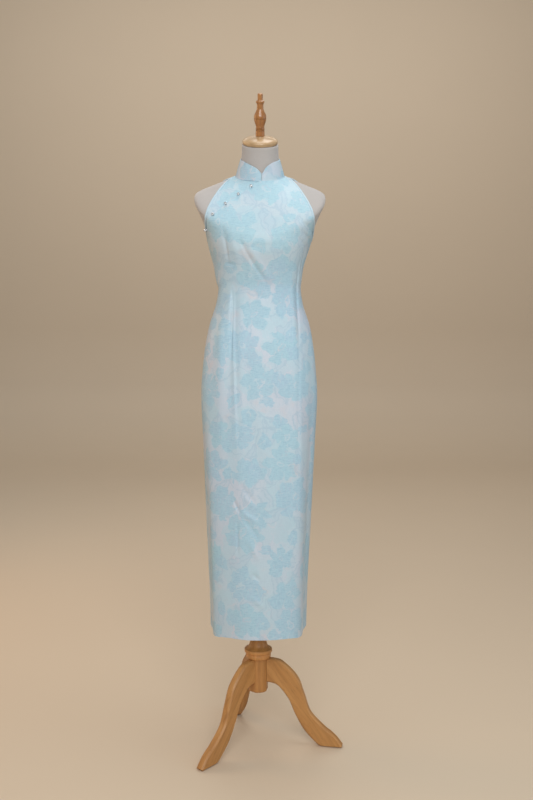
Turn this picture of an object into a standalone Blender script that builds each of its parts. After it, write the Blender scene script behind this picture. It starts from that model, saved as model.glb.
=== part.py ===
"""A long sleeveless cheongsam on an armless dress form with a turned wooden stand.

Metres, +Z up. The dress faces -Y, and the wearer's left is +X. The garment and the form are built
round the stand's axis; at the end an empty carries everything so that the middle of the whole
object's footprint is the origin and the feet stand on Z = 0.
"""
from collections import namedtuple
from math import cos, pi, radians, sin

import bpy
import numpy as np

# ---------------------------------------------------------------- driving dimensions
GAP = 0.0003                 # left between pieces that touch
CLOTH_WALL = 0.0010          # dress cloth with its backing
COLLAR_WALL = 0.0016         # two layers and a stiffener
UNDERLAP_DEPTH = CLOTH_WALL + 0.0015     # the underlap's face lies this far below the front's
OVERLAP_WIDTH = 0.025        # how far the underlap reaches below the front's edge
UNDERLAP_TAIL = 0.6          # levels that the underlap runs on below the armhole
SINK_SHARE = 0.75            # the underlap sinks over this share of the width that shows,
SINK_ANGLE = 6.0             # or lies low all over where less than this many degrees show
BINDING_WIDTH = 0.0055       # edge binding of the armholes
BINDING_WALL = 0.0009
BINDING_LIFT = 0.0008        # off the panels' smooth face, which clears their facets
BUTTON_RADIUS = 0.0042
BUTTON_LIFT = 0.00035

NECK_TILT = radians(20)      # the neck leans forward by this much
NECK_CENTRE_Y = 0.012        # middle of the neck seam
NECK_CENTRE_Z = 1.547
NECK_SEAM_RADIUS = 0.0655
COLLAR_TOP_RADIUS = 0.0525
COLLAR_HEIGHT = 0.0445
COLLAR_TURN = radians(4.5)       # the collar's fronts meet a little to the wearer's left
COLLAR_FRONT_GAP = 0.0012
NECK_TOP = 0.0822            # along the neck's axis, from the seam
CAP_TILT = radians(23)       # the neck's top and its cap lean a little more than its foot

POLE_RADIUS = 0.0170
POLE_BOTTOM = 0.3003
POST_RADIUS = 0.0275
POST_FLAT = 0.0255           # from the axis to the flat that carries a leg
POST_BOTTOM = 0.1430
POST_TOP = 0.2362
POST_ROUNDING = 0.0050
LEG_THICKNESS = 0.0225
LEG_CHAMFER = 0.0042
FIRST_LEG_ANGLE = -9.9       # degrees from +X; the others stand 120 degrees apart
LEG_COUNT = 3

# ---------------------------------------------------------------- horizontal sections
# One row for each section through the dress's outer face, from the neck seam to the hem.
# side: the point over the side seam; front and back: the points on the middle lines.
# square: 2 is an ellipse, more is boxier. ease: from the dress's outer face in to the form.
Section = namedtuple(
    "Section",
    "side_y side_z half_width front_y front_z back_y back_z square front_ease back_ease",
)
SECTIONS = [
    # neck seam and shoulders
    Section(0.012, 1.547, 0.0655, -0.0495, 1.5246, 0.0735, 1.5694, 2.00, 0.0044, 0.0022),
    Section(0.010, 1.541, 0.0800, -0.0600, 1.5080, 0.0845, 1.5560, 2.05, 0.0042, 0.0024),
    Section(0.008, 1.533, 0.1030, -0.0740, 1.4850, 0.0955, 1.5330, 2.20, 0.0040, 0.0026),
    Section(0.006, 1.522, 0.1310, -0.0870, 1.4610, 0.1030, 1.5080, 2.45, 0.0040, 0.0026),
    Section(0.004, 1.5105, 0.1590, -0.0980, 1.4380, 0.1075, 1.4840, 2.75, 0.0040, 0.0026),
    Section(0.003, 1.4985, 0.1750, -0.1060, 1.4190, 0.1090, 1.4620, 2.95, 0.0040, 0.0026),
    Section(0.002, 1.4780, 0.1765, -0.1115, 1.4030, 0.1090, 1.4420, 2.95, 0.0040, 0.0028),
    Section(0.001, 1.4500, 0.1650, -0.1155, 1.3890, 0.1075, 1.4210, 2.80, 0.0042, 0.0030),
    # underarm, bust and waist
    Section(0.000, 1.4080, 0.1490, -0.1190, 1.3740, 0.1050, 1.3930, 2.60, 0.0046, 0.0034),
    Section(0.000, 1.3600, 0.1340, -0.1185, 1.3450, 0.1000, 1.3520, 2.45, 0.0044, 0.0034),
    Section(0.000, 1.3083, 0.1182, -0.1030, 1.3040, 0.0915, 1.3070, 2.35, 0.0040, 0.0032),
    Section(0.000, 1.2700, 0.1128, -0.0900, 1.2690, 0.0855, 1.2700, 2.30, 0.0036, 0.0030),
    Section(0.000, 1.2420, 0.1107, -0.0845, 1.2420, 0.0830, 1.2420, 2.30, 0.0036, 0.0030),
    Section(0.000, 1.2000, 0.1180, -0.0875, 1.2000, 0.0870, 1.2000, 2.30, 0.0044, 0.0036),
    # hips, where the form ends at the row of 0.870
    Section(0.000, 1.1500, 0.1342, -0.0960, 1.1500, 0.0965, 1.1500, 2.30, 0.0066, 0.0048),
    Section(0.000, 1.0950, 0.1452, -0.1040, 1.0950, 0.1080, 1.0950, 2.35, 0.0082, 0.0066),
    Section(0.000, 1.0300, 0.1528, -0.1090, 1.0300, 0.1180, 1.0300, 2.40, 0.0094, 0.0086),
    Section(0.000, 0.9550, 0.1568, -0.1130, 0.9550, 0.1220, 0.9550, 2.40, 0.0120, 0.0112),
    Section(0.000, 0.8700, 0.1532, -0.1180, 0.8700, 0.1230, 0.8700, 2.40, 0.0190, 0.0165),
    # skirt
    Section(0.000, 0.7700, 0.1477, -0.1225, 0.7700, 0.1240, 0.7700, 2.45, 0, 0),
    Section(0.000, 0.6600, 0.1435, -0.1270, 0.6600, 0.1250, 0.6600, 2.45, 0, 0),
    Section(0.000, 0.5400, 0.1392, -0.1310, 0.5400, 0.1260, 0.5400, 2.45, 0, 0),
    Section(0.000, 0.4350, 0.1354, -0.1350, 0.4350, 0.1265, 0.4350, 2.45, 0, 0),
    Section(0.000, 0.3300, 0.1328, -0.1385, 0.3300, 0.1270, 0.3300, 2.45, 0, 0),
]
SECTION_TABLE = np.array(SECTIONS)
COLUMN = {name: place for place, name in enumerate(Section._fields)}
HEM_LEVEL = len(SECTIONS) - 1.0
FORM_BOTTOM_LEVEL = 18.0
NEAREST_RING = 0.2           # levels between the form's last two rings, at least
TURN_STEP = 0.2              # degrees and levels to each side, where slopes are measured
LEVEL_STEP = 0.02
# A level is a place in this table: 8.5 lies halfway between rows 8 and 9. An angle goes round the
# axis in degrees: -90 is the middle of the front, 0 the left side seam, 90 the middle of the back.

# The armhole's edge: level, and the angle between the side seam and the edge, front and back.
EdgePoint = namedtuple("EdgePoint", "level front_angle back_angle")
ARMHOLE = [
    EdgePoint(0.85, 0.0, 0.0),
    EdgePoint(1.30, 8.0, 7.0),
    EdgePoint(1.85, 17.0, 15.0),
    EdgePoint(2.60, 24.5, 21.5),
    EdgePoint(3.50, 29.5, 25.5),
    EdgePoint(4.40, 32.0, 27.5),
    EdgePoint(5.40, 33.0, 28.0),
    EdgePoint(6.60, 31.0, 26.0),
    EdgePoint(7.60, 25.0, 20.5),
    EdgePoint(8.20, 17.0, 13.5),
    EdgePoint(8.55, 9.0, 7.0),
    EdgePoint(8.70, 0.0, 0.0),
]
# The slanting edge of the front panel, from the middle of the neck to the right underarm.
OpeningPoint = namedtuple("OpeningPoint", "level angle")
OPENING = [
    OpeningPoint(0.00, -90.0),
    OpeningPoint(0.50, -98.2),
    OpeningPoint(1.13, -107.8),
    OpeningPoint(2.34, -125.5),
    OpeningPoint(3.61, -135.2),
    OpeningPoint(5.26, -140.8),
    OpeningPoint(6.80, -147.0),
    OpeningPoint(8.01, -155.5),
    OpeningPoint(8.70, -180.0),
]
BUTTON_LEVELS = [1.13, 2.34, 3.61, 5.26, 8.01]     # bead buttons along that edge
# Largest folds: a line from (top_level, top_angle) to (foot_level, foot_angle), how far the fold
# reaches to each side of it, and its height, which is negative in a trough.
Fold = namedtuple("Fold", "top_level top_angle foot_level foot_angle reach height")
FOLDS = [
    # below the right waist dart
    Fold(12.2, -131.0, 17.6, -123.0, 0.011, -0.0035),
    Fold(12.4, -143.0, 19.0, -135.0, 0.018, 0.0035),
    Fold(12.8, -117.0, 19.5, -111.0, 0.016, 0.0020),
    # the two front edges of the skirt and the flat between them
    Fold(12.6, -42.0, 25.0, -46.0, 0.022, 0.0060),
    Fold(16.5, -150.0, 26.0, -144.0, 0.020, 0.0030),
    Fold(17.5, -122.0, 26.0, -124.0, 0.034, -0.0045),
    Fold(14.0, -22.0, 24.0, -26.0, 0.016, -0.0030),
    # round the back
    Fold(13.5, 38.0, 25.0, 44.0, 0.022, 0.0050),
    Fold(14.0, 64.0, 25.0, 70.0, 0.020, -0.0025),
    Fold(13.0, 99.0, 24.5, 96.0, 0.024, 0.0045),
    Fold(14.5, 122.0, 25.0, 118.0, 0.022, -0.0028),
    Fold(13.2, 143.0, 25.5, 139.0, 0.022, 0.0048),
]

# Neck of the form: height along the neck's axis, and radius.
NeckRing = namedtuple("NeckRing", "height radius")
NECK_RINGS = [
    NeckRing(NECK_TOP, 0.0470),
    NeckRing(NECK_TOP - 0.0015, 0.0480),
    NeckRing(0.0600, 0.0486),
    NeckRing(0.0450, 0.0500),
    NeckRing(0.0300, 0.0522),
    NeckRing(0.0150, 0.0558),
    NeckRing(0.0060, 0.0585),
    NeckRing(0.0012, 0.0602),
]

# Upper edge of the collar: distance round the neck from where the fronts meet, and the height of
# the wearer's right and left front there.
CollarPoint = namedtuple("CollarPoint", "distance right_height left_height")
COLLAR_EDGE = [
    CollarPoint(0.0000, 0.0165, 0.0165),
    CollarPoint(0.0030, 0.0194, 0.0196),
    CollarPoint(0.0080, 0.0246, 0.0258),
    CollarPoint(0.0140, 0.0292, 0.0320),
    CollarPoint(0.0215, 0.0327, 0.0367),
    CollarPoint(0.0300, 0.0355, 0.0402),
    CollarPoint(0.0400, 0.0381, 0.0426),
    CollarPoint(0.0520, 0.0408, 0.0440),
    CollarPoint(0.0680, 0.0434, 0.0445),
    CollarPoint(0.0900, 0.0445, 0.0445),
]

# Turned pieces: radius and height of each point of the profile, from the bottom up.
CAP_PROFILE = [
    (0.0425, 0.0000), (0.0456, 0.0030), (0.0467, 0.0072), (0.0452, 0.0108),
    (0.0400, 0.0146), (0.0322, 0.0178), (0.0222, 0.0206), (0.0125, 0.0220),
]
FINIAL_PROFILE = [
    (0.0113, 0.0000), (0.0118, 0.0020), (0.0118, 0.0200), (0.0111, 0.0230), (0.0114, 0.0260),
    (0.0140, 0.0335), (0.0158, 0.0405), (0.0163, 0.0465), (0.0151, 0.0535), (0.0116, 0.0605),
    (0.0090, 0.0670), (0.0085, 0.0740), (0.0089, 0.0805), (0.0111, 0.0840), (0.0106, 0.0875),
    (0.0072, 0.0900), (0.0067, 0.0930), (0.0067, 0.1030), (0.0050, 0.1070),
]
HUB_PROFILE = [
    (0.0325, 0.2365), (0.0344, 0.2395), (0.0347, 0.2450), (0.0338, 0.2505), (0.0376, 0.2530),
    (0.0382, 0.2575), (0.0374, 0.2615), (0.0335, 0.2635), (0.0268, 0.2695), (0.0234, 0.2780),
    (0.0206, 0.2900), (0.0190, 0.3000),
]
# A leg in its own upright plane: the outer and the inner edge, by distance from the axis and height.
LegStation = namedtuple("LegStation", "outer_x outer_z inner_x inner_z")
LEG_STATIONS = [
    LegStation(POST_FLAT + GAP, POST_TOP - 0.0004, POST_FLAT + GAP, 0.1700),
    LegStation(0.0480, 0.2345, 0.0430, 0.1675),
    LegStation(0.0700, 0.2265, 0.0600, 0.1590),
    LegStation(0.1090, 0.1890, 0.0865, 0.1260),
    LegStation(0.1290, 0.1400, 0.1045, 0.0860),
    LegStation(0.1470, 0.0920, 0.1290, 0.0440),
    LegStation(0.1850, 0.0535, 0.1600, 0.0115),
    LegStation(0.2040, 0.0395, 0.1780, 0.0000),
    LegStation(0.2200, 0.0250, 0.2000, 0.0000),
    LegStation(0.2350, 0.0060, 0.2300, 0.0000),
]
STATIONS_BETWEEN = 2

# Mesh density.
FRONT_COLUMNS = 27
BACK_COLUMNS = 21
UNDERLAP_COLUMNS = 12
COLLAR_COLUMNS = 42
COLLAR_CROWDING = 0.65
COLLAR_ROWS = 4
FORM_COLUMNS = 32
TURNED_SIDES = 24
POST_SIDES = 36
BODICE_ROWS = 15             # neck seam to the foot of the armhole
UNDERARM_ROWS = 6            # closer rows where the edges run together
SKIRT_ROWS = 26              # underarm to hem
UNDERARM_LEVEL = 7.25

# colour, roughness and metallic value of each material
MATERIALS = {
    "cloth": ((0.66, 0.80, 0.86), 0.45, 0.0),
    "underlap": ((0.62, 0.77, 0.84), 0.45, 0.0),
    "collar": ((0.60, 0.76, 0.85), 0.45, 0.0),
    "binding": ((0.78, 0.86, 0.88), 0.40, 0.0),
    "bead": ((0.86, 0.86, 0.84), 0.12, 0.0),
    "form_cloth": ((0.60, 0.57, 0.55), 0.85, 0.0),
    "cap_wood": ((0.78, 0.50, 0.26), 0.25, 0.0),
    "finial_wood": ((0.45, 0.20, 0.08), 0.25, 0.0),
    "stand_wood": ((0.55, 0.33, 0.18), 0.40, 0.0),
}


# ---------------------------------------------------------------- scene and mesh helpers
def clear_scene():
    for old in list(bpy.data.objects):
        bpy.data.objects.remove(old, do_unlink=True)


def material(name):
    colour, roughness, metallic = MATERIALS[name]
    made = bpy.data.materials.get(name)
    if made is None:
        made = bpy.data.materials.new(name)
        made.use_nodes = True
        shader = made.node_tree.nodes["Principled BSDF"]
        shader.inputs["Base Color"].default_value = (*colour, 1.0)
        shader.inputs["Roughness"].default_value = roughness
        shader.inputs["Metallic"].default_value = metallic
    return made


def add_object(name, points, faces, material_name, parent, smooth_angle=50):
    mesh = bpy.data.meshes.new(name)
    mesh.from_pydata([tuple(float(number) for number in point) for point in points], [], faces)
    mesh.validate()
    mesh.shade_smooth()
    mesh.set_sharp_from_angle(angle=radians(smooth_angle))
    mesh.materials.append(material(material_name))
    made = bpy.data.objects.new(name, mesh)
    bpy.context.scene.collection.objects.link(made)
    made.parent = parent
    return made


def shell(outer, inner):
    """A closed wall between two grids of points (rows, columns, xyz).

    Rows go down and columns go anticlockwise seen from above, so the outer faces look outwards.
    """
    rows, columns = outer.shape[:2]
    points = np.concatenate([outer.reshape(-1, 3), inner.reshape(-1, 3)])
    under = rows * columns

    def corner(row, column):
        return row * columns + column

    faces = []
    for row in range(rows - 1):
        for column in range(columns - 1):
            loop = [corner(row, column), corner(row + 1, column),
                    corner(row + 1, column + 1), corner(row, column + 1)]
            faces.append(loop)
            faces.append([under + place for place in reversed(loop)])
    rim = [corner(0, column) for column in range(columns)]
    rim += [corner(row, columns - 1) for row in range(1, rows)]
    rim += [corner(rows - 1, column) for column in range(columns - 2, -1, -1)]
    rim += [corner(row, 0) for row in range(rows - 2, 0, -1)]
    for here, there in zip(rim, rim[1:] + rim[:1]):
        faces.append([here, there, under + there, under + here])
    return points, faces


def tube(rings):
    """A closed solid through rings of equal length, from the top down, with a flat fan at each end."""
    count, sides = rings.shape[:2]
    points = np.concatenate([rings.reshape(-1, 3), [rings[0].mean(0)], [rings[-1].mean(0)]])
    top, bottom = count * sides, count * sides + 1
    faces = []
    for ring in range(count - 1):
        for side in range(sides):
            after = (side + 1) % sides
            faces.append([ring * sides + side, (ring + 1) * sides + side,
                          (ring + 1) * sides + after, ring * sides + after])
    last = (count - 1) * sides
    for side in range(sides):
        after = (side + 1) % sides
        faces.append([top, side, after])
        faces.append([bottom, last + after, last + side])
    return points, faces


def turned(profile, sides):
    """The rings of a turned piece, from its profile of (radius, height), bottom up."""
    turn = np.arange(sides) * 2 * pi / sides
    return np.array([
        np.stack([radius * np.cos(turn), radius * np.sin(turn), np.full(sides, height)], -1)
        for radius, height in reversed(profile)
    ])


def smooth_rows(table, place):
    """Rows of a table between its own rows, on a Catmull-Rom curve through them."""
    last = len(table) - 1
    place = np.clip(np.asarray(place, float), 0, last - 1e-9)
    row = place.astype(int)
    part = (place - row)[..., None]
    here, after = table[row], table[row + 1]
    before = np.where(row[..., None] > 0, table[np.maximum(row - 1, 0)], 2 * here - after)
    beyond = np.where(row[..., None] + 2 <= last, table[np.minimum(row + 2, last)], 2 * after - here)
    return 0.5 * (
        2 * here
        + (after - before) * part
        + (2 * before - 5 * here + 4 * after - beyond) * part**2
        + (3 * here - before - 3 * after + beyond) * part**3
    )


# ---------------------------------------------------------------- the dress's outer face
def face_point(angle, level):
    """Points of the dress's outer face before its folds."""
    row = smooth_rows(SECTION_TABLE, level)
    side_y, side_z, half_width, front_y, front_z, back_y, back_z, square = (
        row[..., COLUMN[name]] for name in Section._fields[:8])
    turn = np.radians(angle)
    across, along = np.cos(turn), np.sin(turn)
    depth = np.where(along < 0, side_y - front_y, back_y - side_y)
    reach = ((np.abs(across) / half_width)**square + (np.abs(along) / depth)**square)**(-1 / square)
    lean = reach * along / depth
    height = side_z + (back_z - front_z) / 2 * lean + ((front_z + back_z) / 2 - side_z) * lean**2
    return np.stack([reach * across, side_y + reach * along, height], -1)


def face_normal(angle, level):
    """The way out of that face."""
    low = np.clip(level - LEVEL_STEP, 0, HEM_LEVEL)
    high = np.clip(level + LEVEL_STEP, 0, HEM_LEVEL)
    along = face_point(angle + TURN_STEP, level) - face_point(angle - TURN_STEP, level)
    down = face_point(angle, high) - face_point(angle, low)
    normal = np.cross(down, along)
    return normal / np.linalg.norm(normal, axis=-1, keepdims=True)


def fold_height(angle, level):
    """How far the folds lift the cloth at each place."""
    radius = smooth_rows(SECTION_TABLE, level)[..., COLUMN["half_width"]]
    total = np.zeros(np.broadcast(angle, level).shape)
    for fold in FOLDS:
        along = (level - fold.top_level) / (fold.foot_level - fold.top_level)
        centre = fold.top_angle + (fold.foot_angle - fold.top_angle) * np.clip(along, 0, 1)
        away = np.radians(angle - centre) * radius
        strength = np.sin(pi * np.clip(along, 0, 1))**0.6
        total = total + fold.height * strength * np.exp(-(away / fold.reach)**2)
    return total


def cloth(angle, level, depth):
    """Points of the cloth at a depth below its outer face, with the folds."""
    angle, level = np.broadcast_arrays(np.asarray(angle, float), np.asarray(level, float))
    raised = fold_height(angle, level) - depth
    return face_point(angle, level) + face_normal(angle, level) * raised[..., None]


def read_edge(points, column, level):
    """The value in a column of an edge table at a level."""
    levels = [point.level for point in points]
    return np.interp(level, levels, [getattr(point, column) for point in points])


def armhole_angle(level, column):
    """The angle that the armhole takes from the side seam, which is none above and below it."""
    inside = (level >= ARMHOLE[0].level) & (level <= ARMHOLE[-1].level)
    return np.where(inside, read_edge(ARMHOLE, column, level), 0.0)


def seam_allowance(level):
    """Half the gap at a seam, as an angle."""
    return np.degrees(GAP / 2 / smooth_rows(SECTION_TABLE, level)[..., COLUMN["half_width"]])


def opening_angle(level):
    return np.where(level < OPENING[-1].level, read_edge(OPENING, "angle", level), -180.0)


def panel(first, last, levels, columns, depth=0.0, wall=CLOTH_WALL):
    """A cloth wall between two edges, given as an angle for each level."""
    share = np.linspace(0, 1, columns)
    angle = first[:, None] + (last - first)[:, None] * share
    level = np.repeat(levels[:, None], columns, axis=1)
    return shell(cloth(angle, level, depth), cloth(angle, level, depth + wall))


def dress_levels():
    bodice = np.linspace(0, UNDERARM_LEVEL, BODICE_ROWS, endpoint=False)
    underarm = np.linspace(UNDERARM_LEVEL, ARMHOLE[-1].level, UNDERARM_ROWS, endpoint=False)
    skirt = np.linspace(ARMHOLE[-1].level, HEM_LEVEL, SKIRT_ROWS)
    return np.concatenate([bodice, underarm, skirt])


# ---------------------------------------------------------------- pieces of the dress
def make_front(parent):
    levels = dress_levels()
    allowance = seam_allowance(levels)
    first = opening_angle(levels) + allowance
    last = -armhole_angle(levels, "front_angle") - allowance
    add_object("dress_front", *panel(first, last, levels, FRONT_COLUMNS), "cloth", parent)


def make_back(parent):
    levels = dress_levels()
    allowance = seam_allowance(levels)
    edge = armhole_angle(levels, "back_angle") + allowance
    add_object("dress_back", *panel(edge, 180.0 - edge, levels, BACK_COLUMNS), "cloth", parent)


def make_underlap(parent):
    """The shoulder piece under the slanting edge, from the right armhole to below the front."""
    levels = dress_levels()
    levels = levels[levels < ARMHOLE[-1].level + UNDERLAP_TAIL]
    radius = smooth_rows(SECTION_TABLE, levels)[..., COLUMN["half_width"]]
    first = -180.0 + armhole_angle(levels, "front_angle") + seam_allowance(levels)
    edge = opening_angle(levels)
    last = edge + np.degrees(OVERLAP_WIDTH / radius)
    share = np.linspace(0, 1, UNDERLAP_COLUMNS)
    angle = first[:, None] + (last - first)[:, None] * share
    level = np.repeat(levels[:, None], UNDERLAP_COLUMNS, axis=1)
    # it sinks from the armhole, where it is the outer cloth, to below the front panel's edge
    shown = (edge - first)[:, None]
    sink = np.clip((angle - first[:, None]) / (SINK_SHARE * np.maximum(shown, SINK_ANGLE)), 0, 1)
    sink = np.where(shown < SINK_ANGLE, 1.0, sink * sink * (3 - 2 * sink))
    depth = UNDERLAP_DEPTH * sink
    outer = cloth(angle, level, depth)
    inner = cloth(angle, level, depth + CLOTH_WALL)
    add_object("dress_underlap", *shell(outer, inner), "underlap", parent)


def on_neck(turn, height, radius):
    """Points round the neck's leaning axis: turn in radians, -pi/2 at the front."""
    across = radius * np.cos(turn)
    along = radius * np.sin(turn)
    tilt = NECK_TILT + (CAP_TILT - NECK_TILT) * np.clip(height / NECK_TOP, 0, 1)**2
    y = NECK_CENTRE_Y + along * np.cos(tilt) - height * sin(NECK_TILT)
    z = NECK_CENTRE_Z + along * np.sin(tilt) + height * cos(NECK_TILT)
    return np.stack(np.broadcast_arrays(across, y, z), -1)


def collar_radius(height):
    return NECK_SEAM_RADIUS + (COLLAR_TOP_RADIUS - NECK_SEAM_RADIUS) * height / COLLAR_HEIGHT


def collar_top(turn):
    """The collar's height: level round the back, falling in a rounded front to where they meet."""
    from_front = ((turn + pi / 2 - COLLAR_TURN + pi) % (2 * pi) - pi) * NECK_SEAM_RADIUS
    table = np.array(COLLAR_EDGE)
    right = np.interp(-from_front, table[:, 0], table[:, 1])
    left = np.interp(from_front, table[:, 0], table[:, 2])
    return np.where(from_front < 0, right, left)


def make_collar(parent):
    half_gap = COLLAR_FRONT_GAP / 2 / NECK_SEAM_RADIUS
    part = np.linspace(0, 1, COLLAR_COLUMNS)
    part = part - COLLAR_CROWDING * np.sin(2 * pi * part) / (2 * pi)      # closer at the front
    turn = COLLAR_TURN - pi / 2 + half_gap + part * 2 * (pi - half_gap)
    share = np.linspace(1, 0, COLLAR_ROWS)[:, None]
    height = GAP + share * (collar_top(turn)[None, :] - GAP)
    turns = np.repeat(turn[None, :], COLLAR_ROWS, axis=0)
    radius = collar_radius(height)
    outer = on_neck(turns, height, radius)
    inner = on_neck(turns, height, radius - COLLAR_WALL)
    add_object("dress_collar", *shell(outer, inner), "collar", parent)


def armhole_path(side):
    """Places along an armhole, from the shoulder down the front and up the back: angle and level."""
    rows = dress_levels()
    inside = rows[(rows > ARMHOLE[0].level + 0.1) & (rows < ARMHOLE[-1].level - 0.1)]
    level = np.concatenate([[ARMHOLE[0].level], inside, [ARMHOLE[-1].level]])
    front = armhole_angle(level, "front_angle")
    back = armhole_angle(level, "back_angle")
    turn = np.concatenate([-front, back[::-1][1:-1]])
    levels = np.concatenate([level, level[::-1][1:-1]])
    return (turn if side == "left" else 180.0 - turn), levels


def slide(angle, level, way):
    """The places reached from others by moving along the face by short vectors."""
    along = face_point(angle + TURN_STEP, level) - face_point(angle - TURN_STEP, level)
    down = face_point(angle, level + LEVEL_STEP) - face_point(angle, level - LEVEL_STEP)
    along /= 2 * TURN_STEP
    down /= 2 * LEVEL_STEP
    square_along, square_down = (along**2).sum(-1), (down**2).sum(-1)
    both = (along * down).sum(-1)
    way_along, way_down = (way * along).sum(-1), (way * down).sum(-1)
    whole = square_along * square_down - both**2
    return (angle + (way_along * square_down - way_down * both) / whole,
            level + (way_down * square_along - way_along * both) / whole)


def make_binding(side, parent):
    """The bound edge of an armhole: a narrow closed band of its own on the panels."""
    angle, level = armhole_path(side)
    edge = cloth(angle, level, 0.0)
    ahead = np.roll(edge, -1, axis=0) - np.roll(edge, 1, axis=0)
    inward = np.cross(ahead, face_normal(angle, level))
    inward *= BINDING_WIDTH / np.linalg.norm(inward, axis=1, keepdims=True)
    if side == "right":
        inward = -inward
    inner_angle, inner_level = slide(angle, level, inward)
    low, high = -BINDING_LIFT, -BINDING_LIFT - BINDING_WALL
    rails = [
        cloth(angle, level, low),
        cloth(inner_angle, inner_level, low),
        cloth(inner_angle, inner_level, high),
        cloth(angle, level, high),
    ]
    if side == "right":
        rails.reverse()
    count = len(angle)
    faces = []
    for rail in range(4):
        below = (rail + 1) % 4
        for place in range(count):
            after = (place + 1) % count
            faces.append([rail * count + place, rail * count + after,
                          below * count + after, below * count + place])
    add_object(f"binding_{side}", np.concatenate(rails), faces, "binding", parent)


def make_buttons(parent):
    """Beads seated on the front panel's slanting edge, which runs straight between its rows."""
    levels = dress_levels()
    edge = cloth(opening_angle(levels) + seam_allowance(levels), levels, 0.0)
    for number, level in enumerate(BUTTON_LEVELS, 1):
        foot = np.array([np.interp(level, levels, edge[:, axis]) for axis in range(3)])
        way_out = face_normal(opening_angle(np.array(level)), np.array(level))
        seat = foot + way_out * (BUTTON_RADIUS + BUTTON_LIFT)
        bpy.ops.mesh.primitive_ico_sphere_add(subdivisions=2, radius=BUTTON_RADIUS)
        bead = bpy.context.object
        bead.name = f"button_{number}"
        bead.data.shade_smooth()
        bead.data.materials.append(material("bead"))
        bead.parent = parent
        bead.location = tuple(float(number) for number in seat)


# ---------------------------------------------------------------- the form
def make_form(parent):
    turn = np.arange(FORM_COLUMNS) * 2 * pi / FORM_COLUMNS
    rings = [on_neck(turn, ring.height, ring.radius) for ring in NECK_RINGS]
    angle = np.degrees(turn)
    levels = dress_levels()
    for level in [*levels[levels < FORM_BOTTOM_LEVEL - NEAREST_RING], FORM_BOTTOM_LEVEL]:
        row = smooth_rows(SECTION_TABLE, level)
        front_ease, back_ease = row[COLUMN["front_ease"]], row[COLUMN["back_ease"]]
        share = (1 + np.sin(turn)) / 2
        ease = front_ease + (back_ease - front_ease) * share
        around = np.full(FORM_COLUMNS, level)
        rings.append(face_point(angle, around) - face_normal(angle, around) * ease[:, None])
    rings[-1][:, 2] = SECTIONS[int(FORM_BOTTOM_LEVEL)].side_z
    add_object("form_torso", *tube(np.array(rings)), "form_cloth", parent, smooth_angle=60)


def make_turned(name, profile, material_name, parent, height=None, sides=TURNED_SIDES):
    """A turned piece, upright, or seated at a height above the neck's leaning top."""
    made = add_object(name, *tube(turned(profile, sides)), material_name, parent)
    if height is not None:
        seat = on_neck(np.array(0.0), NECK_TOP, np.array(0.0))
        seat = seat + height * np.array([0.0, -sin(CAP_TILT), cos(CAP_TILT)])
        made.location = tuple(float(number) for number in seat)
        made.rotation_euler = (CAP_TILT, 0.0, 0.0)
    return made


# ---------------------------------------------------------------- the stand
def make_post(parent):
    """A round block with a flat for each leg and a rounded lower edge."""
    turn = np.arange(POST_SIDES) * 2 * pi / POST_SIDES + radians(FIRST_LEG_ANGLE)
    to_flat = (turn - radians(FIRST_LEG_ANGLE) + pi / LEG_COUNT) % (2 * pi / LEG_COUNT) - pi / LEG_COUNT
    radius = np.minimum(POST_RADIUS, POST_FLAT / np.cos(to_flat))
    profile = [
        (POST_TOP, 0.0),
        (POST_BOTTOM + POST_ROUNDING, 0.0),
        (POST_BOTTOM + 0.3 * POST_ROUNDING, 0.3 * POST_ROUNDING),
        (POST_BOTTOM, POST_ROUNDING),
    ]
    rings = [
        np.stack([(radius - inset) * np.cos(turn), (radius - inset) * np.sin(turn),
                  np.full(POST_SIDES, height)], -1)
        for height, inset in profile
    ]
    add_object("stand_post", *tube(np.array(rings)), "stand_wood", parent)


def leg_rings():
    """Eight-sided sections of a leg that stands along +X."""
    table = np.array(LEG_STATIONS)
    places = np.linspace(0, len(table) - 1, (len(table) - 1) * STATIONS_BETWEEN + 1)
    half = LEG_THICKNESS / 2
    rings = []
    for outer_x, outer_z, inner_x, inner_z in smooth_rows(table, places):
        outer = np.array([outer_x, 0.0, max(outer_z, 0.0)])
        inner = np.array([inner_x, 0.0, max(inner_z, 0.0)])
        way_in = (inner - outer) / np.linalg.norm(inner - outer)
        chamfer = min(LEG_CHAMFER, 0.4 * np.linalg.norm(inner - outer))
        side = np.array([0.0, 1.0, 0.0])
        rings.append([
            outer - side * (half - chamfer),
            outer + side * (half - chamfer),
            outer + way_in * chamfer + side * half,
            inner - way_in * chamfer + side * half,
            inner + side * (half - chamfer),
            inner - side * (half - chamfer),
            inner - way_in * chamfer - side * half,
            outer + way_in * chamfer - side * half,
        ])
    rings = np.array(rings)
    rings[0, :, 0] = LEG_STATIONS[0].outer_x
    return rings


def make_legs(parent):
    points, faces = tube(leg_rings())
    first = add_object("leg_1", points, faces, "stand_wood", parent, smooth_angle=35)
    for number in range(LEG_COUNT):
        leg = first
        if number > 0:
            leg = bpy.data.objects.new(f"leg_{number + 1}", first.data)
            bpy.context.scene.collection.objects.link(leg)
            leg.parent = parent
        leg.rotation_euler = (0.0, 0.0, radians(FIRST_LEG_ANGLE + 360.0 / LEG_COUNT * number))


def make_pole(parent):
    top = SECTIONS[int(FORM_BOTTOM_LEVEL)].side_z - GAP
    profile = [(POLE_RADIUS, POLE_BOTTOM), (POLE_RADIUS, top)]
    make_turned("stand_pole", profile, "stand_wood", parent)


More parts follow.
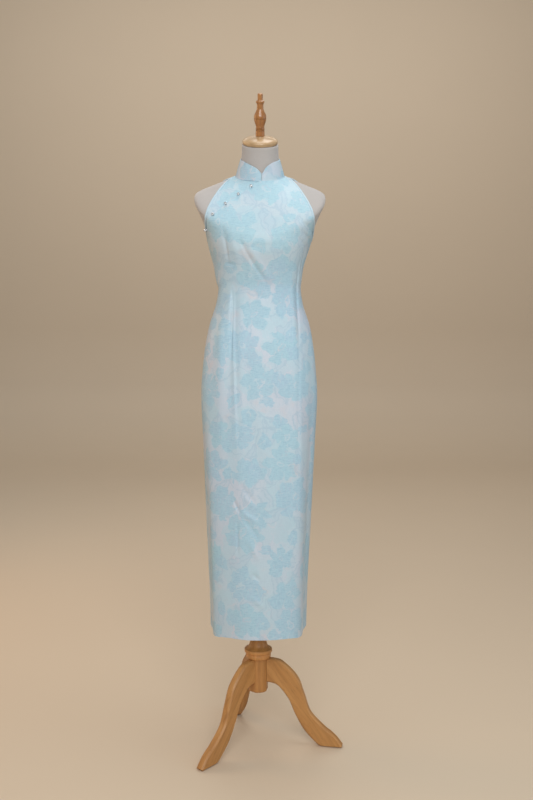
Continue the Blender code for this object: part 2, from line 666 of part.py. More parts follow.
# ---------------------------------------------------------------- the whole
def centre_footprint(carrier):
    """Move the carrier so that the middle of the whole object's footprint is the origin."""
    bpy.context.view_layer.update()
    corners = np.concatenate([
        np.array([made.matrix_world @ vertex.co for vertex in made.data.vertices])
        for made in bpy.context.scene.objects if made.type == "MESH"
    ])
    middle = (corners.min(0) + corners.max(0)) / 2
    carrier.location = (-float(middle[0]), -float(middle[1]), 0.0)
    bpy.context.view_layer.update()


def main():
    clear_scene()
    carrier = bpy.data.objects.new("stand_axis", None)
    bpy.context.scene.collection.objects.link(carrier)
    make_front(carrier)
    make_underlap(carrier)
    make_back(carrier)
    make_collar(carrier)
    make_binding("left", carrier)
    make_binding("right", carrier)
    make_buttons(carrier)
    make_form(carrier)
    make_turned("neck_cap", CAP_PROFILE, "cap_wood", carrier, height=GAP)
    cap_height = CAP_PROFILE[-1][1]
    make_turned("finial", FINIAL_PROFILE, "finial_wood", carrier, height=cap_height + 2 * GAP)
    make_pole(carrier)
    make_turned("stand_hub", HUB_PROFILE, "stand_wood", carrier)
    make_post(carrier)
    make_legs(carrier)
    centre_footprint(carrier)


main()
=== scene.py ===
"""The looks of the cheongsam on its dress form and stand.

Metres, in the row frame: the dress faces -Y and the wearer's left is +X. The cloth's surface is worked
out from the same sizes as the solids, with a finer mesh, creases, sewing and a woven flower pattern.
A place on the dress is an angle round it in degrees, -90 in the middle of the front and 90 in the
middle of the back, and a level, which counts the rows of SECTIONS from the neck down.
"""
from math import cos, pi, radians, sin, sqrt

import bmesh
import bpy
import numpy as np
from mathutils import Matrix, Vector


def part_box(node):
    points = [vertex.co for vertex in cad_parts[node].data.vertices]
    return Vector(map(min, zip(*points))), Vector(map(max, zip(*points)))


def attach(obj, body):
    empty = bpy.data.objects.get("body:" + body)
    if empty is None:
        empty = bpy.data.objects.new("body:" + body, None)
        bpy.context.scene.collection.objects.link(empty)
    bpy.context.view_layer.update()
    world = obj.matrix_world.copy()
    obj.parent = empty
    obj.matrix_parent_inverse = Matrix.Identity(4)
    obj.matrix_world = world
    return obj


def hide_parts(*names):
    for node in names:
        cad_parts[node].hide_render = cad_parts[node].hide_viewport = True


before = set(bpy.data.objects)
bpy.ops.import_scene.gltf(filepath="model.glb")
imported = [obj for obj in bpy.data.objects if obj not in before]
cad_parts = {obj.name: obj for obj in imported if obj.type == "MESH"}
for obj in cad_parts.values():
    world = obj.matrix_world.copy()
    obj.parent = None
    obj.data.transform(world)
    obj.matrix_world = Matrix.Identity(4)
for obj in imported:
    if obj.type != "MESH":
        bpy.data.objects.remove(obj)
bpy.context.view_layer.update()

# ---- sizes shared with the solids
AXIS = np.array([-0.029491, -0.018757, 0.0])     # the stand's axis in the row frame
FRONT, BACK = -90.0, 90.0                        # angles of the middles
CLOTH_WALL = 0.0010
HALF_SEAM = 0.00015
UNDERLAP_DEPTH = 0.0012
OVERLAP_WIDTH = 0.025
UNDERLAP_TAIL = 0.6        # levels from the underarm down to the underlap's end
SINK_SHARE = 0.75          # share of the underlap's shown width that it sinks over
SINK_ANGLE = 6.0           # degrees: where less than this shows, it is sunk throughout
BUTTON_RADIUS = 0.0042
HEM_DEPTH = 0.028          # how far the hem is turned up
HEM_EXTRA = 0.0007         # and how much thicker it is
EDGE_ROLL = 0.0030         # the rolled slanting edge

NECK_TILT = radians(20)
NECK_CENTRE_Y = 0.012
NECK_CENTRE_Z = 1.547
NECK_SEAM_RADIUS = 0.0655
COLLAR_TOP_RADIUS = 0.0525
COLLAR_HEIGHT = 0.0445
COLLAR_TURN = radians(4.5)
COLLAR_WALL = 0.0016
NECK_TOP = 0.0822
CAP_TILT = radians(23)
FIRST_LEG = radians(-9.9)
LEGS = 3

# side_y side_z half_width front_y front_z back_y back_z square front_ease back_ease
SHOULDERS = [
    (0.012, 1.547, 0.0655, -0.0495, 1.5246, 0.0735, 1.5694, 2, 0.0044, 0.0022),
    (0.01, 1.541, 0.08, -0.06, 1.508, 0.0845, 1.556, 2.05, 0.0042, 0.0024),
    (0.008, 1.533, 0.103, -0.074, 1.485, 0.0955, 1.533, 2.2, 0.004, 0.0026),
    (0.006, 1.522, 0.131, -0.087, 1.461, 0.103, 1.508, 2.45, 0.004, 0.0026),
    (0.004, 1.5105, 0.159, -0.098, 1.438, 0.1075, 1.484, 2.75, 0.004, 0.0026),
    (0.003, 1.4985, 0.175, -0.106, 1.419, 0.109, 1.462, 2.95, 0.004, 0.0026),
    (0.002, 1.478, 0.1765, -0.1115, 1.403, 0.109, 1.442, 2.95, 0.004, 0.0028),
    (0.001, 1.45, 0.165, -0.1155, 1.389, 0.1075, 1.421, 2.8, 0.0042, 0.003),
    (0, 1.408, 0.149, -0.119, 1.374, 0.105, 1.393, 2.6, 0.0046, 0.0034),
    (0, 1.36, 0.134, -0.1185, 1.345, 0.1, 1.352, 2.45, 0.0044, 0.0034),
    (0, 1.3083, 0.1182, -0.103, 1.304, 0.0915, 1.307, 2.35, 0.004, 0.0032),
    (0, 1.27, 0.1128, -0.09, 1.269, 0.0855, 1.27, 2.3, 0.0036, 0.003),
]
# height half_width front_y back_y square front_ease back_ease
SKIRT = [
    (1.242, 0.1107, -0.0845, 0.083, 2.3, 0.0036, 0.003),
    (1.2, 0.118, -0.0875, 0.087, 2.3, 0.0044, 0.0036),
    (1.15, 0.1342, -0.096, 0.0965, 2.3, 0.0066, 0.0048),
    (1.095, 0.1452, -0.104, 0.108, 2.35, 0.0082, 0.0066),
    (1.03, 0.1528, -0.109, 0.118, 2.4, 0.0094, 0.0086),
    (0.955, 0.1568, -0.113, 0.122, 2.4, 0.012, 0.0112),
    (0.87, 0.1532, -0.118, 0.123, 2.4, 0.019, 0.0165),
    (0.77, 0.1477, -0.1225, 0.124, 2.45, 0, 0),
    (0.66, 0.1435, -0.127, 0.125, 2.45, 0, 0),
    (0.54, 0.1392, -0.131, 0.126, 2.45, 0, 0),
    (0.435, 0.1354, -0.135, 0.1265, 2.45, 0, 0),
    (0.33, 0.1328, -0.1385, 0.127, 2.45, 0, 0),
]
SECTIONS = np.array(SHOULDERS + [(0, height, width, front, height, back, height, *more)
                                 for height, width, front, back, *more in SKIRT])
HEM_LEVEL = len(SECTIONS) - 1.0
HEM_HEIGHT = SECTIONS[-1, 1]
FORM_BOTTOM = 18.0         # the level that the form ends at
FORM_FOOT = 0.8702         # and the lowest height of its rounded foot

# level, angle from the side seam to the armhole's edge in front and at the back
ARMHOLE = np.array([
    (0.85, 0, 0), (1.3, 8, 7), (1.85, 17, 15), (2.6, 24.5, 21.5), (3.5, 29.5, 25.5),
    (4.4, 32, 27.5), (5.4, 33, 28), (6.6, 31, 26), (7.6, 25, 20.5), (8.2, 17, 13.5),
    (8.55, 9, 7), (8.7, 0, 0),
])
ARMHOLE_TOP, UNDERARM = ARMHOLE[0, 0], ARMHOLE[-1, 0]
# level, angle of the slanting edge
OPENING = np.array([
    (0, -90), (0.5, -98.2), (1.13, -107.8), (2.34, -125.5), (3.61, -135.2), (5.26, -140.8),
    (6.8, -147), (8.01, -155.5), (8.7, -180),
])
BUTTON_LEVELS = [1.13, 2.34, 3.61, 5.26, 8.01]

# top level, top angle, foot level, foot angle, reach, height
FOLDS = [
    (12.2, -131, 17.6, -123, 0.011, -0.0035),
    (12.4, -143, 19, -135, 0.018, 0.0035),
    (12.8, -117, 19.5, -111, 0.016, 0.002),
    (12.6, -42, 25, -46, 0.022, 0.006),
    (16.5, -150, 26, -144, 0.02, 0.003),
    (17.5, -122, 26, -124, 0.034, -0.0045),
    (14, -22, 24, -26, 0.016, -0.003),
    (19.5, -160, 27, -160, 0.03, -0.0065),
    (19.5, -20, 27, -20, 0.03, -0.0055),
    (19.5, 160, 27, 160, 0.03, -0.0065),
    (19.5, 20, 27, 20, 0.03, -0.0055),
    (8.6, -180, 11.7, -180, 0.034, 0.0055),
    (8.6, 180, 11.7, 180, 0.034, 0.0055),
    (13.5, 38, 25, 44, 0.022, 0.005),
    (14, 64, 25, 70, 0.02, -0.0025),
    (13, 99, 24.5, 96, 0.024, 0.0045),
    (14.5, 122, 25, 118, 0.022, -0.0028),
    (13.2, 143, 25.5, 139, 0.022, 0.0048),
]

# Finer creases, each a bent line over the cloth through three places of (level, angle), then its
# reach to each side and its height, both in millimetres, and how much sharper one flank is.
CREASES = [
    # from the right of the bust down to the middle of the waist, with a soft ridge above it
    (8.05, -116, 9.86, -100.8, 11.6, -77, 4, -1.7, 0.4),
    (8.4, -107, 9.8, -92, 11.3, -70, 8.5, 1.8, 0),
    (6.53, -131.2, 8.67, -130.6, 10, -133.6, 4.8, -1.9, -0.2),
    (7.2, -123, 8.9, -121, 10.1, -117, 10, 1.5, 0),
    (9.95, -140.2, 9.99, -132, 10.02, -124.6, 3.2, -1.8, 0),
    # the soft break below the bust
    (8.55, -126, 8.95, -98, 8.75, -58, 10, -1.4, 0),
    # the dart fold at the right of the waist: steep on its outer side, easy on its inner side
    (11.6, -135, 14.6, -126.8, 18.6, -116.6, 11.2, 3.4, -0.5),
    (11.9, -135, 13.6, -131, 15.6, -126.2, 3.8, -2.9, 0),
    (12.9, -146, 15, -139, 17.4, -131, 14, 1.4, 0),
    # its fellow on the left, pressed flatter, and the upright edge below it
    (9.6, -31.5, 12.66, -26, 15.18, -38.5, 4.2, -2, -0.3),
    (15, -38, 17.1, -42.8, 19.6, -45.4, 4.6, -1.5, -0.3),
    (10.4, -42, 12.6, -36, 15.6, -46, 9, 1.8, 0),
    # pulls from the left underarm
    (4.98, -44.4, 7.12, -38.2, 8.44, -8, 4.8, -1.7, 0.2),
    (7.36, -43, 8.4, -30.4, 8.92, -8, 4.2, -1.6, 0),
    (8.1, -47, 8.8, -35.4, 9.42, -10, 4.5, -1.5, 0),
    (6.3, -46, 7.9, -38, 8.7, -14, 5, 1.3, 0),
    (8.9, -30, 9.6, -24, 10.6, -22, 5, -1.4, 0),
    # short breaks in the skirt
    (19.68, -119, 19.86, -115.4, 20, -111, 3.6, -2.2, 0.3),
    (19.94, -110, 20.06, -101, 20.2, -88.4, 6.6, 1.5, -0.2),
    (20.06, -108, 20.32, -98, 20.56, -89, 6, -1.2, 0),
    (19.32, -111.4, 19.52, -103.4, 19.8, -93.4, 6.2, -0.9, 0),
    (19.6, -108, 19.74, -100.4, 19.94, -90.4, 6.4, 0.7, 0),
    (20.5, -104, 20.76, -96, 21.02, -88.6, 6.2, 1.2, 0),
    (20.12, -114.4, 20.56, -113.8, 20.95, -113.4, 3.6, -1.5, 0),
    (21.34, -97.4, 21.42, -92.8, 21.52, -88, 4.6, -1.4, 0.2),
    (21.9, -98, 22.04, -91.4, 22.2, -84, 6.2, 1.1, 0),
    (19.1, -70, 19.6, -66, 20.1, -64, 7, -0.9, 0),
    (17.4, -100, 18.6, -92, 19.7, -88, 12, -1, 0),
    # drag lines at the waist
    (12.3, -100, 12.5, -88, 12.55, -70, 6, -0.8, 0),
    (12.9, -64, 13.1, -56, 13.6, -48, 6.5, -0.9, 0),
    # the same kinds on the back
    (8.6, 52, 9.7, 60, 10.9, 72, 6, -1.6, 0.2),
    (8.8, 128, 9.9, 120, 11.1, 108, 6, -1.7, -0.2),
    (11, 56, 12.8, 57, 15.6, 61, 6, -2.6, 0.3),
    (11.2, 124, 13, 123, 15.7, 119, 6, -2.6, -0.3),
    (12.1, 78, 12.25, 90, 12.2, 103, 7, -1.3, 0),
    (12.6, 84, 12.8, 96, 12.75, 110, 8, 1.3, 0),
    (18.4, 80, 19.1, 84, 19.9, 85, 8, -1.3, 0),
    (20.6, 108, 20.72, 114, 20.9, 119, 4.5, -1.8, 0.2),
    (16.6, 62, 17.3, 68, 18.1, 71, 6, -1, 0),
]
CREASE_STRENGTH = 1.35
CREASE_PARTS = 8           # straight parts of each crease

# where the hem hangs a little lower: angle and drop
HEM_CORNERS = [(-143, 0.006), (-39, 0.005), (38, 0.003), (142, 0.003)]
CORNER_REACH = 12.0        # in degrees
CORNER_TOP, CORNER_LEVELS = 21.6, 1.4      # the level that the drop starts at, and the levels it takes

# distance round the neck from the front, height of the right and of the left collar front
COLLAR_EDGE = np.array([
    (0, 0.0165, 0.0165), (0.003, 0.0194, 0.0196), (0.008, 0.0246, 0.0258), (0.014, 0.0292, 0.032),
    (0.0215, 0.0327, 0.0367), (0.03, 0.0355, 0.0402), (0.04, 0.0381, 0.0426), (0.052, 0.0408, 0.044),
    (0.068, 0.0434, 0.0445), (0.09, 0.0445, 0.0445),
])

# height along the neck, and radius
NECK_RINGS = [(NECK_TOP, 0.047), (NECK_TOP - 0.0006, 0.0477), (NECK_TOP - 0.0018, 0.0481),
              (0.06, 0.0486), (0.045, 0.05), (0.03, 0.0522), (0.015, 0.0558),
              (0.006, 0.0585), (0.0012, 0.0602)]

# ---- mesh helpers
PATTERN = "pattern"        # the UV layer that holds places on the flat cloth, in metres


def add_object(name, data):
    made = bpy.data.objects.new(name, data)
    bpy.context.scene.collection.objects.link(made)
    return made


def add_mesh(name, points, faces, smooth_angle, uv=None):
    """A mesh, smooth up to an angle between its faces, which are turned outwards."""
    mesh = bpy.data.meshes.new(name)
    mesh.from_pydata(points.tolist(), [], faces)
    if uv is not None:
        layer = mesh.uv_layers.new(name=PATTERN)
        corners = np.empty(len(mesh.loops), dtype=np.int32)
        mesh.loops.foreach_get("vertex_index", corners)
        layer.data.foreach_set("uv", uv[corners].ravel())
    mesh.shade_smooth()
    mesh.set_sharp_from_angle(angle=radians(smooth_angle))
    edited = bmesh.new()
    edited.from_mesh(mesh)
    if edited.calc_volume(signed=True) < 0:
        bmesh.ops.reverse_faces(edited, faces=edited.faces)
        edited.to_mesh(mesh)
    edited.free()
    return add_object(name, mesh)


def add_piece(name, solid, smooth_angle, material, node=None, matrix=Matrix(), uv=None):
    """A piece of the object, from its (points, faces)."""
    made = add_mesh(name, *solid, smooth_angle, uv)
    made.matrix_world = matrix
    made.data.materials.append(material)
    if node:
        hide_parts(node)
    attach(made, "root")
    return made


def numbered(grid):
    """Point numbers of a grid, row by row."""
    return np.arange(grid[..., 0].size).reshape(grid.shape[:2])


def quads(place):
    """Faces of a grid of point numbers."""
    corners = [place[:-1, :-1], place[1:, :-1], place[1:, 1:], place[:-1, 1:]]
    return np.stack(corners, -1).reshape(-1, 4).tolist()


def shell(outer, inner):
    """A closed wall between two grids: rows go down, columns anticlockwise from above."""
    place = numbered(outer)
    under = place.size
    faces = quads(place)
    faces += [[under + number for number in face[::-1]] for face in faces]
    rim = np.concatenate([place[0], place[1:, -1], place[-1, -2::-1], place[-2:0:-1, 0]]).tolist()
    for here, there in zip(rim, rim[1:] + rim[:1]):
        faces.append([here, there, under + there, under + here])
    return np.concatenate([outer.reshape(-1, 3), inner.reshape(-1, 3)]), faces


def tube(rings):
    """A closed solid through rings, from the top down."""
    rings = np.array(rings)
    top, sides = rings[..., 0].size, rings.shape[1]
    faces = quads(np.pad(numbered(rings), ((0, 0), (0, 1)), mode="wrap"))
    for side in range(sides):
        following = (side + 1) % sides
        faces.append([top, side, following])
        faces.append([top + 1, top - sides + following, top - sides + side])
    return np.concatenate([rings.reshape(-1, 3), [rings[0].mean(0)], [rings[-1].mean(0)]]), faces


def round_angles(sides, first=0.0):
    return np.arange(sides) * 2 * pi / sides + first


def ring(radius, turn, height):
    """A level ring, whose radius may change with the angle."""
    return np.stack(np.broadcast_arrays(radius * np.cos(turn), radius * np.sin(turn), height), -1)


# ---- curves through tables
def smooth_rows(table, place):
    """Rows between a table's rows, on a curve through them."""
    last = len(table) - 1
    place = np.clip(np.asarray(place, float), 0, last - 1e-9)
    row = place.astype(int)
    part = (place - row)[..., None]
    here, after = table[row], table[row + 1]
    before = np.where(row[..., None] > 0, table[np.maximum(row - 1, 0)], 2 * here - after)
    beyond = np.where(row[..., None] + 2 <= last, table[np.minimum(row + 2, last)], 2 * after - here)
    return 0.5 * (2 * here + (after - before) * part + (2 * before - 5 * here + 4 * after - beyond) * part**2
                  + (3 * here - before - 3 * after + beyond) * part**3)


def smooth_curve(xs, ys, at):
    """A curve through points that never overshoots them."""
    at = np.asarray(at, float)
    step = np.diff(xs)
    slope = np.diff(ys) / step
    low, high = 2 * step[1:] + step[:-1], step[1:] + 2 * step[:-1]
    with np.errstate(divide="ignore", invalid="ignore"):
        mean = (low + high) / (low / slope[:-1] + high / slope[1:])
    tangent = np.concatenate([slope[:1], np.where(slope[:-1] * slope[1:] > 0, mean, 0), slope[-1:]])
    row = np.clip(np.searchsorted(xs, at, side="right") - 1, 0, len(xs) - 2)
    part = np.clip((at - xs[row]) / step[row], 0, 1)
    square, cube = part**2, part**3
    return ((2 * cube - 3 * square + 1) * ys[row] + (cube - 2 * square + part) * step[row] * tangent[row]
            + (3 * square - 2 * cube) * ys[row + 1] + (cube - square) * step[row] * tangent[row + 1])


# ---- the dress's outer face
ANGLE_STEP, LEVEL_STEP = 0.2, 0.02     # steps for finding which way the face lies


def half_width(level):
    return smooth_rows(SECTIONS, level)[..., 2]


def face_point(angle, level):
    row = np.moveaxis(smooth_rows(SECTIONS, level), -1, 0)
    side_y, side_z, width, front_y, front_z, back_y, back_z, square = row[:8]
    across, along = np.cos(np.radians(angle)), np.sin(np.radians(angle))
    depth = np.where(along < 0, side_y - front_y, back_y - side_y)
    reach = ((np.abs(across) / width)**square + (np.abs(along) / depth)**square)**(-1 / square)
    lean = reach * along / depth
    height = side_z + (back_z - front_z) / 2 * lean + ((front_z + back_z) / 2 - side_z) * lean**2
    return np.stack([reach * across, side_y + reach * along, height], -1)


def face_ways(angle, level):
    """How the face runs, per degree and per level."""
    low, high = (np.clip(level + step, 0, HEM_LEVEL) for step in (-LEVEL_STEP, LEVEL_STEP))
    along = face_point(angle + ANGLE_STEP, level) - face_point(angle - ANGLE_STEP, level)
    down = face_point(angle, high) - face_point(angle, low)
    return along / (2 * ANGLE_STEP), down / (2 * LEVEL_STEP)


def face_normal(angle, level):
    along, down = face_ways(angle, level)
    normal = np.cross(down, along)
    return normal / np.linalg.norm(normal, axis=-1, keepdims=True)


MAP_LEVELS = np.linspace(0, HEM_LEVEL, 461)
MAP_ANGLES = np.linspace(-270, 270, 541)
FACE_MAP = face_point(MAP_ANGLES[None, :], MAP_LEVELS[:, None])
MAP_ACROSS = np.pad(np.cumsum(np.hypot(*np.moveaxis(np.diff(FACE_MAP[..., :2], axis=1), -1, 0)), axis=1),
                    ((0, 0), (1, 0)))
MAP_HEIGHT = FACE_MAP[..., 2]


def read_map(table, angle, level):
    """Values between a map's points."""
    place = []
    for value, marks in ((level, MAP_LEVELS), (angle, MAP_ANGLES)):
        at = np.interp(value, marks, np.arange(len(marks)))
        whole = np.minimum(at.astype(int), len(marks) - 2)
        place += [whole, at - whole]
    row, down, column, right = place
    return ((1 - down) * ((1 - right) * table[row, column] + right * table[row, column + 1])
            + down * ((1 - right) * table[row + 1, column] + right * table[row + 1, column + 1]))


def middle_line(middle):
    """Length and height along a middle line, from the neck down, at the map's levels."""
    line = face_point(np.full(len(MAP_LEVELS), middle), MAP_LEVELS)
    steps = np.linalg.norm(np.diff(line, axis=0), axis=1)
    return np.concatenate([[0], np.cumsum(steps)]), line[:, 2]


MIDDLES = {middle: middle_line(middle) for middle in (FRONT, BACK)}
FRONT_LENGTHS = MIDDLES[FRONT][0]


def flat_place(angle, level, middle):
    """A point's place on the flat cloth: across from the middle line, plus 1j times up."""
    angle, level = np.broadcast_arrays(np.asarray(angle, float), np.asarray(level, float))
    lengths, heights = MIDDLES[middle]
    across = read_map(MAP_ACROSS, angle, level) - read_map(MAP_ACROSS, np.full(angle.shape, middle), level)
    rise = read_map(MAP_HEIGHT, angle, level) - np.interp(level, MAP_LEVELS, heights)
    return across + 1j * (rise - np.interp(level, MAP_LEVELS, lengths))


def fold_height(angle, level):
    radius = half_width(level)
    total = np.zeros(np.broadcast(angle, level).shape)
    for top_level, top_angle, foot_level, foot_angle, reach, height in FOLDS:
        along = np.clip((level - top_level) / (foot_level - top_level), 0, 1)
        centre = top_angle + (foot_angle - top_angle) * along
        away = np.radians(angle - centre) * radius
        total = total + height * np.sin(pi * along)**0.6 * np.exp(-(away / reach)**2)
    return total


def crease_line(places, middle):
    """A bent line over the flat cloth through three places, each a level and an angle."""
    start, through, end = flat_place(places[1::2], places[::2], middle)
    share = np.linspace(0, 1, CREASE_PARTS + 1)
    control = 2 * through - (start + end) / 2
    return (1 - share)**2 * start + 2 * share * (1 - share) * control + share**2 * end


def nearest_on_line(line, place):
    """Distance of flat places from a line, their side, and the share of the line passed."""
    nearest, side, share = np.full(place.shape, np.inf), np.zeros(place.shape), np.zeros(place.shape)
    for number, (start, way) in enumerate(zip(line, np.diff(line))):
        away = (place - start) / way       # along the part, and across it times 1j
        along = np.clip(away.real, 0, 1)
        distance = np.abs(away - along) * np.abs(way)
        nearer = distance < nearest
        nearest = np.where(nearer, distance, nearest)
        side = np.where(nearer, np.sign(away.imag), side)
        share = np.where(nearer, (number + along) / CREASE_PARTS, share)
    return nearest, side, share


def crease_height(angle, level, middle):
    """The finer creases, and the unevenness of cloth that hangs."""
    place = flat_place(angle, level, middle)
    across, up = place.real, place.imag
    total = np.zeros(place.shape)
    for *places, reach, height, skew in CREASES:
        if (places[1] < 0) != (middle < 0):
            continue
        nearest, side, share = nearest_on_line(crease_line(places, middle), place)
        taper = np.sin(pi * np.clip(share, 0.001, 0.999))**0.7
        away = nearest / (reach / 1000 * (1 + skew * side))
        total += CREASE_STRENGTH * height / 1000 * taper * np.exp(-away**2)
    # soft unevenness, more of it where the skirt hangs free
    free = np.clip((level - 12.5) / 4, 0, 1)
    for height, waves, start, held in (
            (0.55, across / 0.083 + 0.31 * np.sin(up * 9), 0.8, 0),
            (0.35, across / 0.131 - up / 0.61, 2.1, 0),
            (0.30, up / 0.173 + across / 0.37, 0.4, 0.5),
            (0.22, up / 0.094 - across / 0.21, 1.7, 0.6)):
        swell = height * np.sin(2 * pi * waves + start) * (1 - held * free)
        total += 0.00070 * swell * (0.35 + 0.65 * free)
    return total


def cloth_walls(angle, level, middle, depths, lift=0.0):
    """Points of the cloth at each of some depths below its outer face."""
    raised = fold_height(angle, level) + crease_height(angle, level, middle)
    near_hem = np.clip((level - CORNER_TOP) / CORNER_LEVELS, 0, 1)**2
    face, normal = face_point(angle, level), face_normal(angle, level)
    for depth in depths:
        points = face + normal * (raised - depth + lift)[..., None] + AXIS
        for corner, drop in HEM_CORNERS:
            points[..., 2] -= drop * near_hem * np.exp(-((angle - corner) / CORNER_REACH)**2)
        yield points


def armhole_angle(level, column):
    """Angle from the side seam to the armhole's edge: column 1 in front, 2 at the back."""
    inside = (level >= ARMHOLE_TOP) & (level <= UNDERARM)
    return np.where(inside, smooth_curve(ARMHOLE[:, 0], ARMHOLE[:, column], level), 0.0)


def opening_angle(level):
    return np.where(level < OPENING[-1, 0], smooth_curve(OPENING[:, 0], OPENING[:, 1], level), -180.0)


def seam_allowance(level):
    return np.degrees(HALF_SEAM / half_width(level))


# ---- shading helpers
def add_node(beside, kind, inputs, **settings):
    """A node in a tree or in a socket's tree, fed by numbers, tuples, sockets or Values."""
    tree = beside.id_data
    node = tree.nodes.new(kind)
    for name, setting in settings.items():
        setattr(node, name, setting)
    for name, value in inputs.items():
        socket = node.inputs[name]
        if isinstance(value, Value):
            value = value.socket
        if isinstance(value, bpy.types.NodeSocket):
            tree.links.new(value, socket)
        elif socket.type == "RGBA":
            socket.default_value = (*value, 1.0)
        else:
            socket.default_value = value
    return node


def operation(name):
    """A method for one operation of the Math node."""
    def apply(self, *others):
        inputs = dict(enumerate([self, *others]))
        return Value(add_node(self.socket, "ShaderNodeMath", inputs, operation=name).outputs[0])
    return apply


class Value:
    """A number in a node tree, for writing formulas."""

    def __init__(self, socket):
        self.socket = socket

    __add__ = __radd__ = operation("ADD")
    __sub__ = operation("SUBTRACT")
    __mul__ = __rmul__ = operation("MULTIPLY")
    __truediv__ = operation("DIVIDE")
    sine = operation("SINE")
    cosine = operation("COSINE")
    absolute = operation("ABSOLUTE")
    root = operation("SQRT")
    power = operation("POWER")
    minimum = operation("MINIMUM")
    maximum = operation("MAXIMUM")
    soft_minimum = operation("SMOOTH_MIN")
    above = operation("GREATER_THAN")
    angle_of = operation("ARCTAN2")
    snap = operation("SNAP")

    def __rsub__(self, other):
        return self * -1.0 + other

    def soft_step(self, low, high):
        """0 below low, 1 above high, smooth between."""
        inputs = {"Value": self, "From Min": low, "From Max": high}
        node = add_node(self.socket, "ShaderNodeMapRange", inputs, interpolation_type="SMOOTHSTEP")
        return Value(node.outputs["Result"])


def shifted(place, x, y):
    return add_node(place, "ShaderNodeVectorMath", {0: place, 1: (x, y, 0)}, operation="ADD").outputs[0]


def turned(place, angle):
    """A place turned about its middle."""
    inputs = {"Vector": place, "Angle": angle}
    return add_node(place, "ShaderNodeVectorRotate", inputs, rotation_type="Z_AXIS").outputs[0]


def parts(place):
    node = add_node(place, "ShaderNodeSeparateXYZ", {0: place})
    return Value(node.outputs[0]), Value(node.outputs[1])


def scattered(place, spacing, randomness):
    """A place seen from the nearest of many scattered middles, and three numbers of that middle."""
    inputs = {"Vector": place, "Scale": 1 / spacing, "Randomness": randomness}
    cells = add_node(place, "ShaderNodeTexVoronoi", inputs, voronoi_dimensions="2D")
    inputs = {0: place, 1: cells.outputs["Position"]}
    away = add_node(place, "ShaderNodeVectorMath", inputs, operation="SUBTRACT")
    numbers = add_node(place, "ShaderNodeSeparateColor", {0: cells.outputs["Color"]})
    return away.outputs[0], *(Value(number) for number in numbers.outputs)


def mapped(place, scale=(1, 1, 1), rotation=(0, 0, 0), location=(0, 0, 0)):
    inputs = {"Vector": place, "Scale": scale, "Rotation": rotation, "Location": location}
    return add_node(place, "ShaderNodeMapping", inputs).outputs["Vector"]


def noise(place, scale, detail=2.0, rough=0.5, distortion=0.0):
    inputs = {"Vector": place, "Scale": scale, "Detail": detail, "Roughness": rough, "Distortion": distortion}
    return Value(add_node(place, "ShaderNodeTexNoise", inputs).outputs["Fac"])


def blend(share, first, second):
    inputs = {0: share, 6: first, 7: second}     # the Mix node's factor and its two colours
    return add_node(share.socket, "ShaderNodeMix", inputs, data_type="RGBA").outputs[2]


def layered(colour, *layers):
    """A colour with others laid over it, each by its own share."""
    for share, over in layers:
        colour = blend(share, colour, over)
    return colour


def shade(colour, factor):
    return tuple(min(1, part * factor) for part in colour)


def new_material(name, **settings):
    made = bpy.data.materials.new(name)
    made.use_nodes = True
    shader = made.node_tree.nodes["Principled BSDF"]
    for key, value in settings.items():
        shader.inputs[key.replace("_", " ")].default_value = value
    return made, shader


def object_place(shader):
    return add_node(shader, "ShaderNodeTexCoord", {}).outputs["Object"]


def pattern_place(shader):
    return add_node(shader, "ShaderNodeUVMap", {}, uv_map=PATTERN).outputs["UV"]


def feed(shader, colour, rough=None):
    links = shader.id_data.links
    links.new(colour, shader.inputs["Base Color"])
    if rough is not None:
        links.new(rough.socket, shader.inputs["Roughness"])


def bump(shader, height, distance, strength):
    inputs = {"Height": height, "Distance": distance, "Strength": strength}
    node = add_node(shader, "ShaderNodeBump", inputs)
    shader.id_data.links.new(node.outputs["Normal"], shader.inputs["Normal"])


# ---- the woven flowers
def blossoms(place, spacing, randomness, radius, spread):
    """Blossoms with five or six rounded petals: how deep inside one, in metres, and its tone."""
    away, turn, size, tone = scattered(place, spacing, randomness)
    reach = size * (radius * spread) + radius * (1 - spread / 2)
    x, y = parts(away)
    distance = (x * x + y * y).root() / reach
    angle = y.angle_of(x)
    petals = tone.above(0.5) + 5.0
    wave = ((angle + turn * (2 * pi)) * (petals * 0.5)).cosine().absolute().soft_minimum(0.97, 0.1)
    edge = wave.power(0.6) * 0.44 + 0.58 + (angle * 13.0 + turn * 40.0).sine() * 0.035
    slit = (wave * distance - 0.045).maximum(0.42 - distance)
    heart = (distance - 0.16).absolute() - 0.035
    return (edge - distance).minimum(slit).minimum(heart) * reach, tone


def round_petals(place, spacing, randomness, length, width):
    """Single solid petals with a short vein."""
    away, turn, size, tone = scattered(place, spacing, randomness)
    x, y = parts(turned(away, turn * (2 * pi)))
    along, across = x / length, y / (size * (0.5 * width) + 0.75 * width)
    inside = 1.0 - along * along - across.absolute()
    vein = ((across + along * 0.2).absolute() - 0.06).maximum(along - 0.3)
    return inside.minimum(vein) * width, tone


def long_leaves(place, spacing, randomness, length, width, line):
    """Pointed leaves: how deep inside one, and inside its outline and midrib."""
    away, turn, size, _ = scattered(place, spacing, randomness)
    x, y = parts(turned(away, turn * (2 * pi)))
    along = x / (size * (0.4 * length) + 0.8 * length)
    across = (y + along * along * (0.5 * width)) / width
    inside = 1.0 - along * along - across.absolute()
    rim = line / width - inside.absolute()
    rib = (0.75 * line / width - across.absolute()).minimum(inside + 0.15)
    return inside * width, rim.maximum(rib) * width


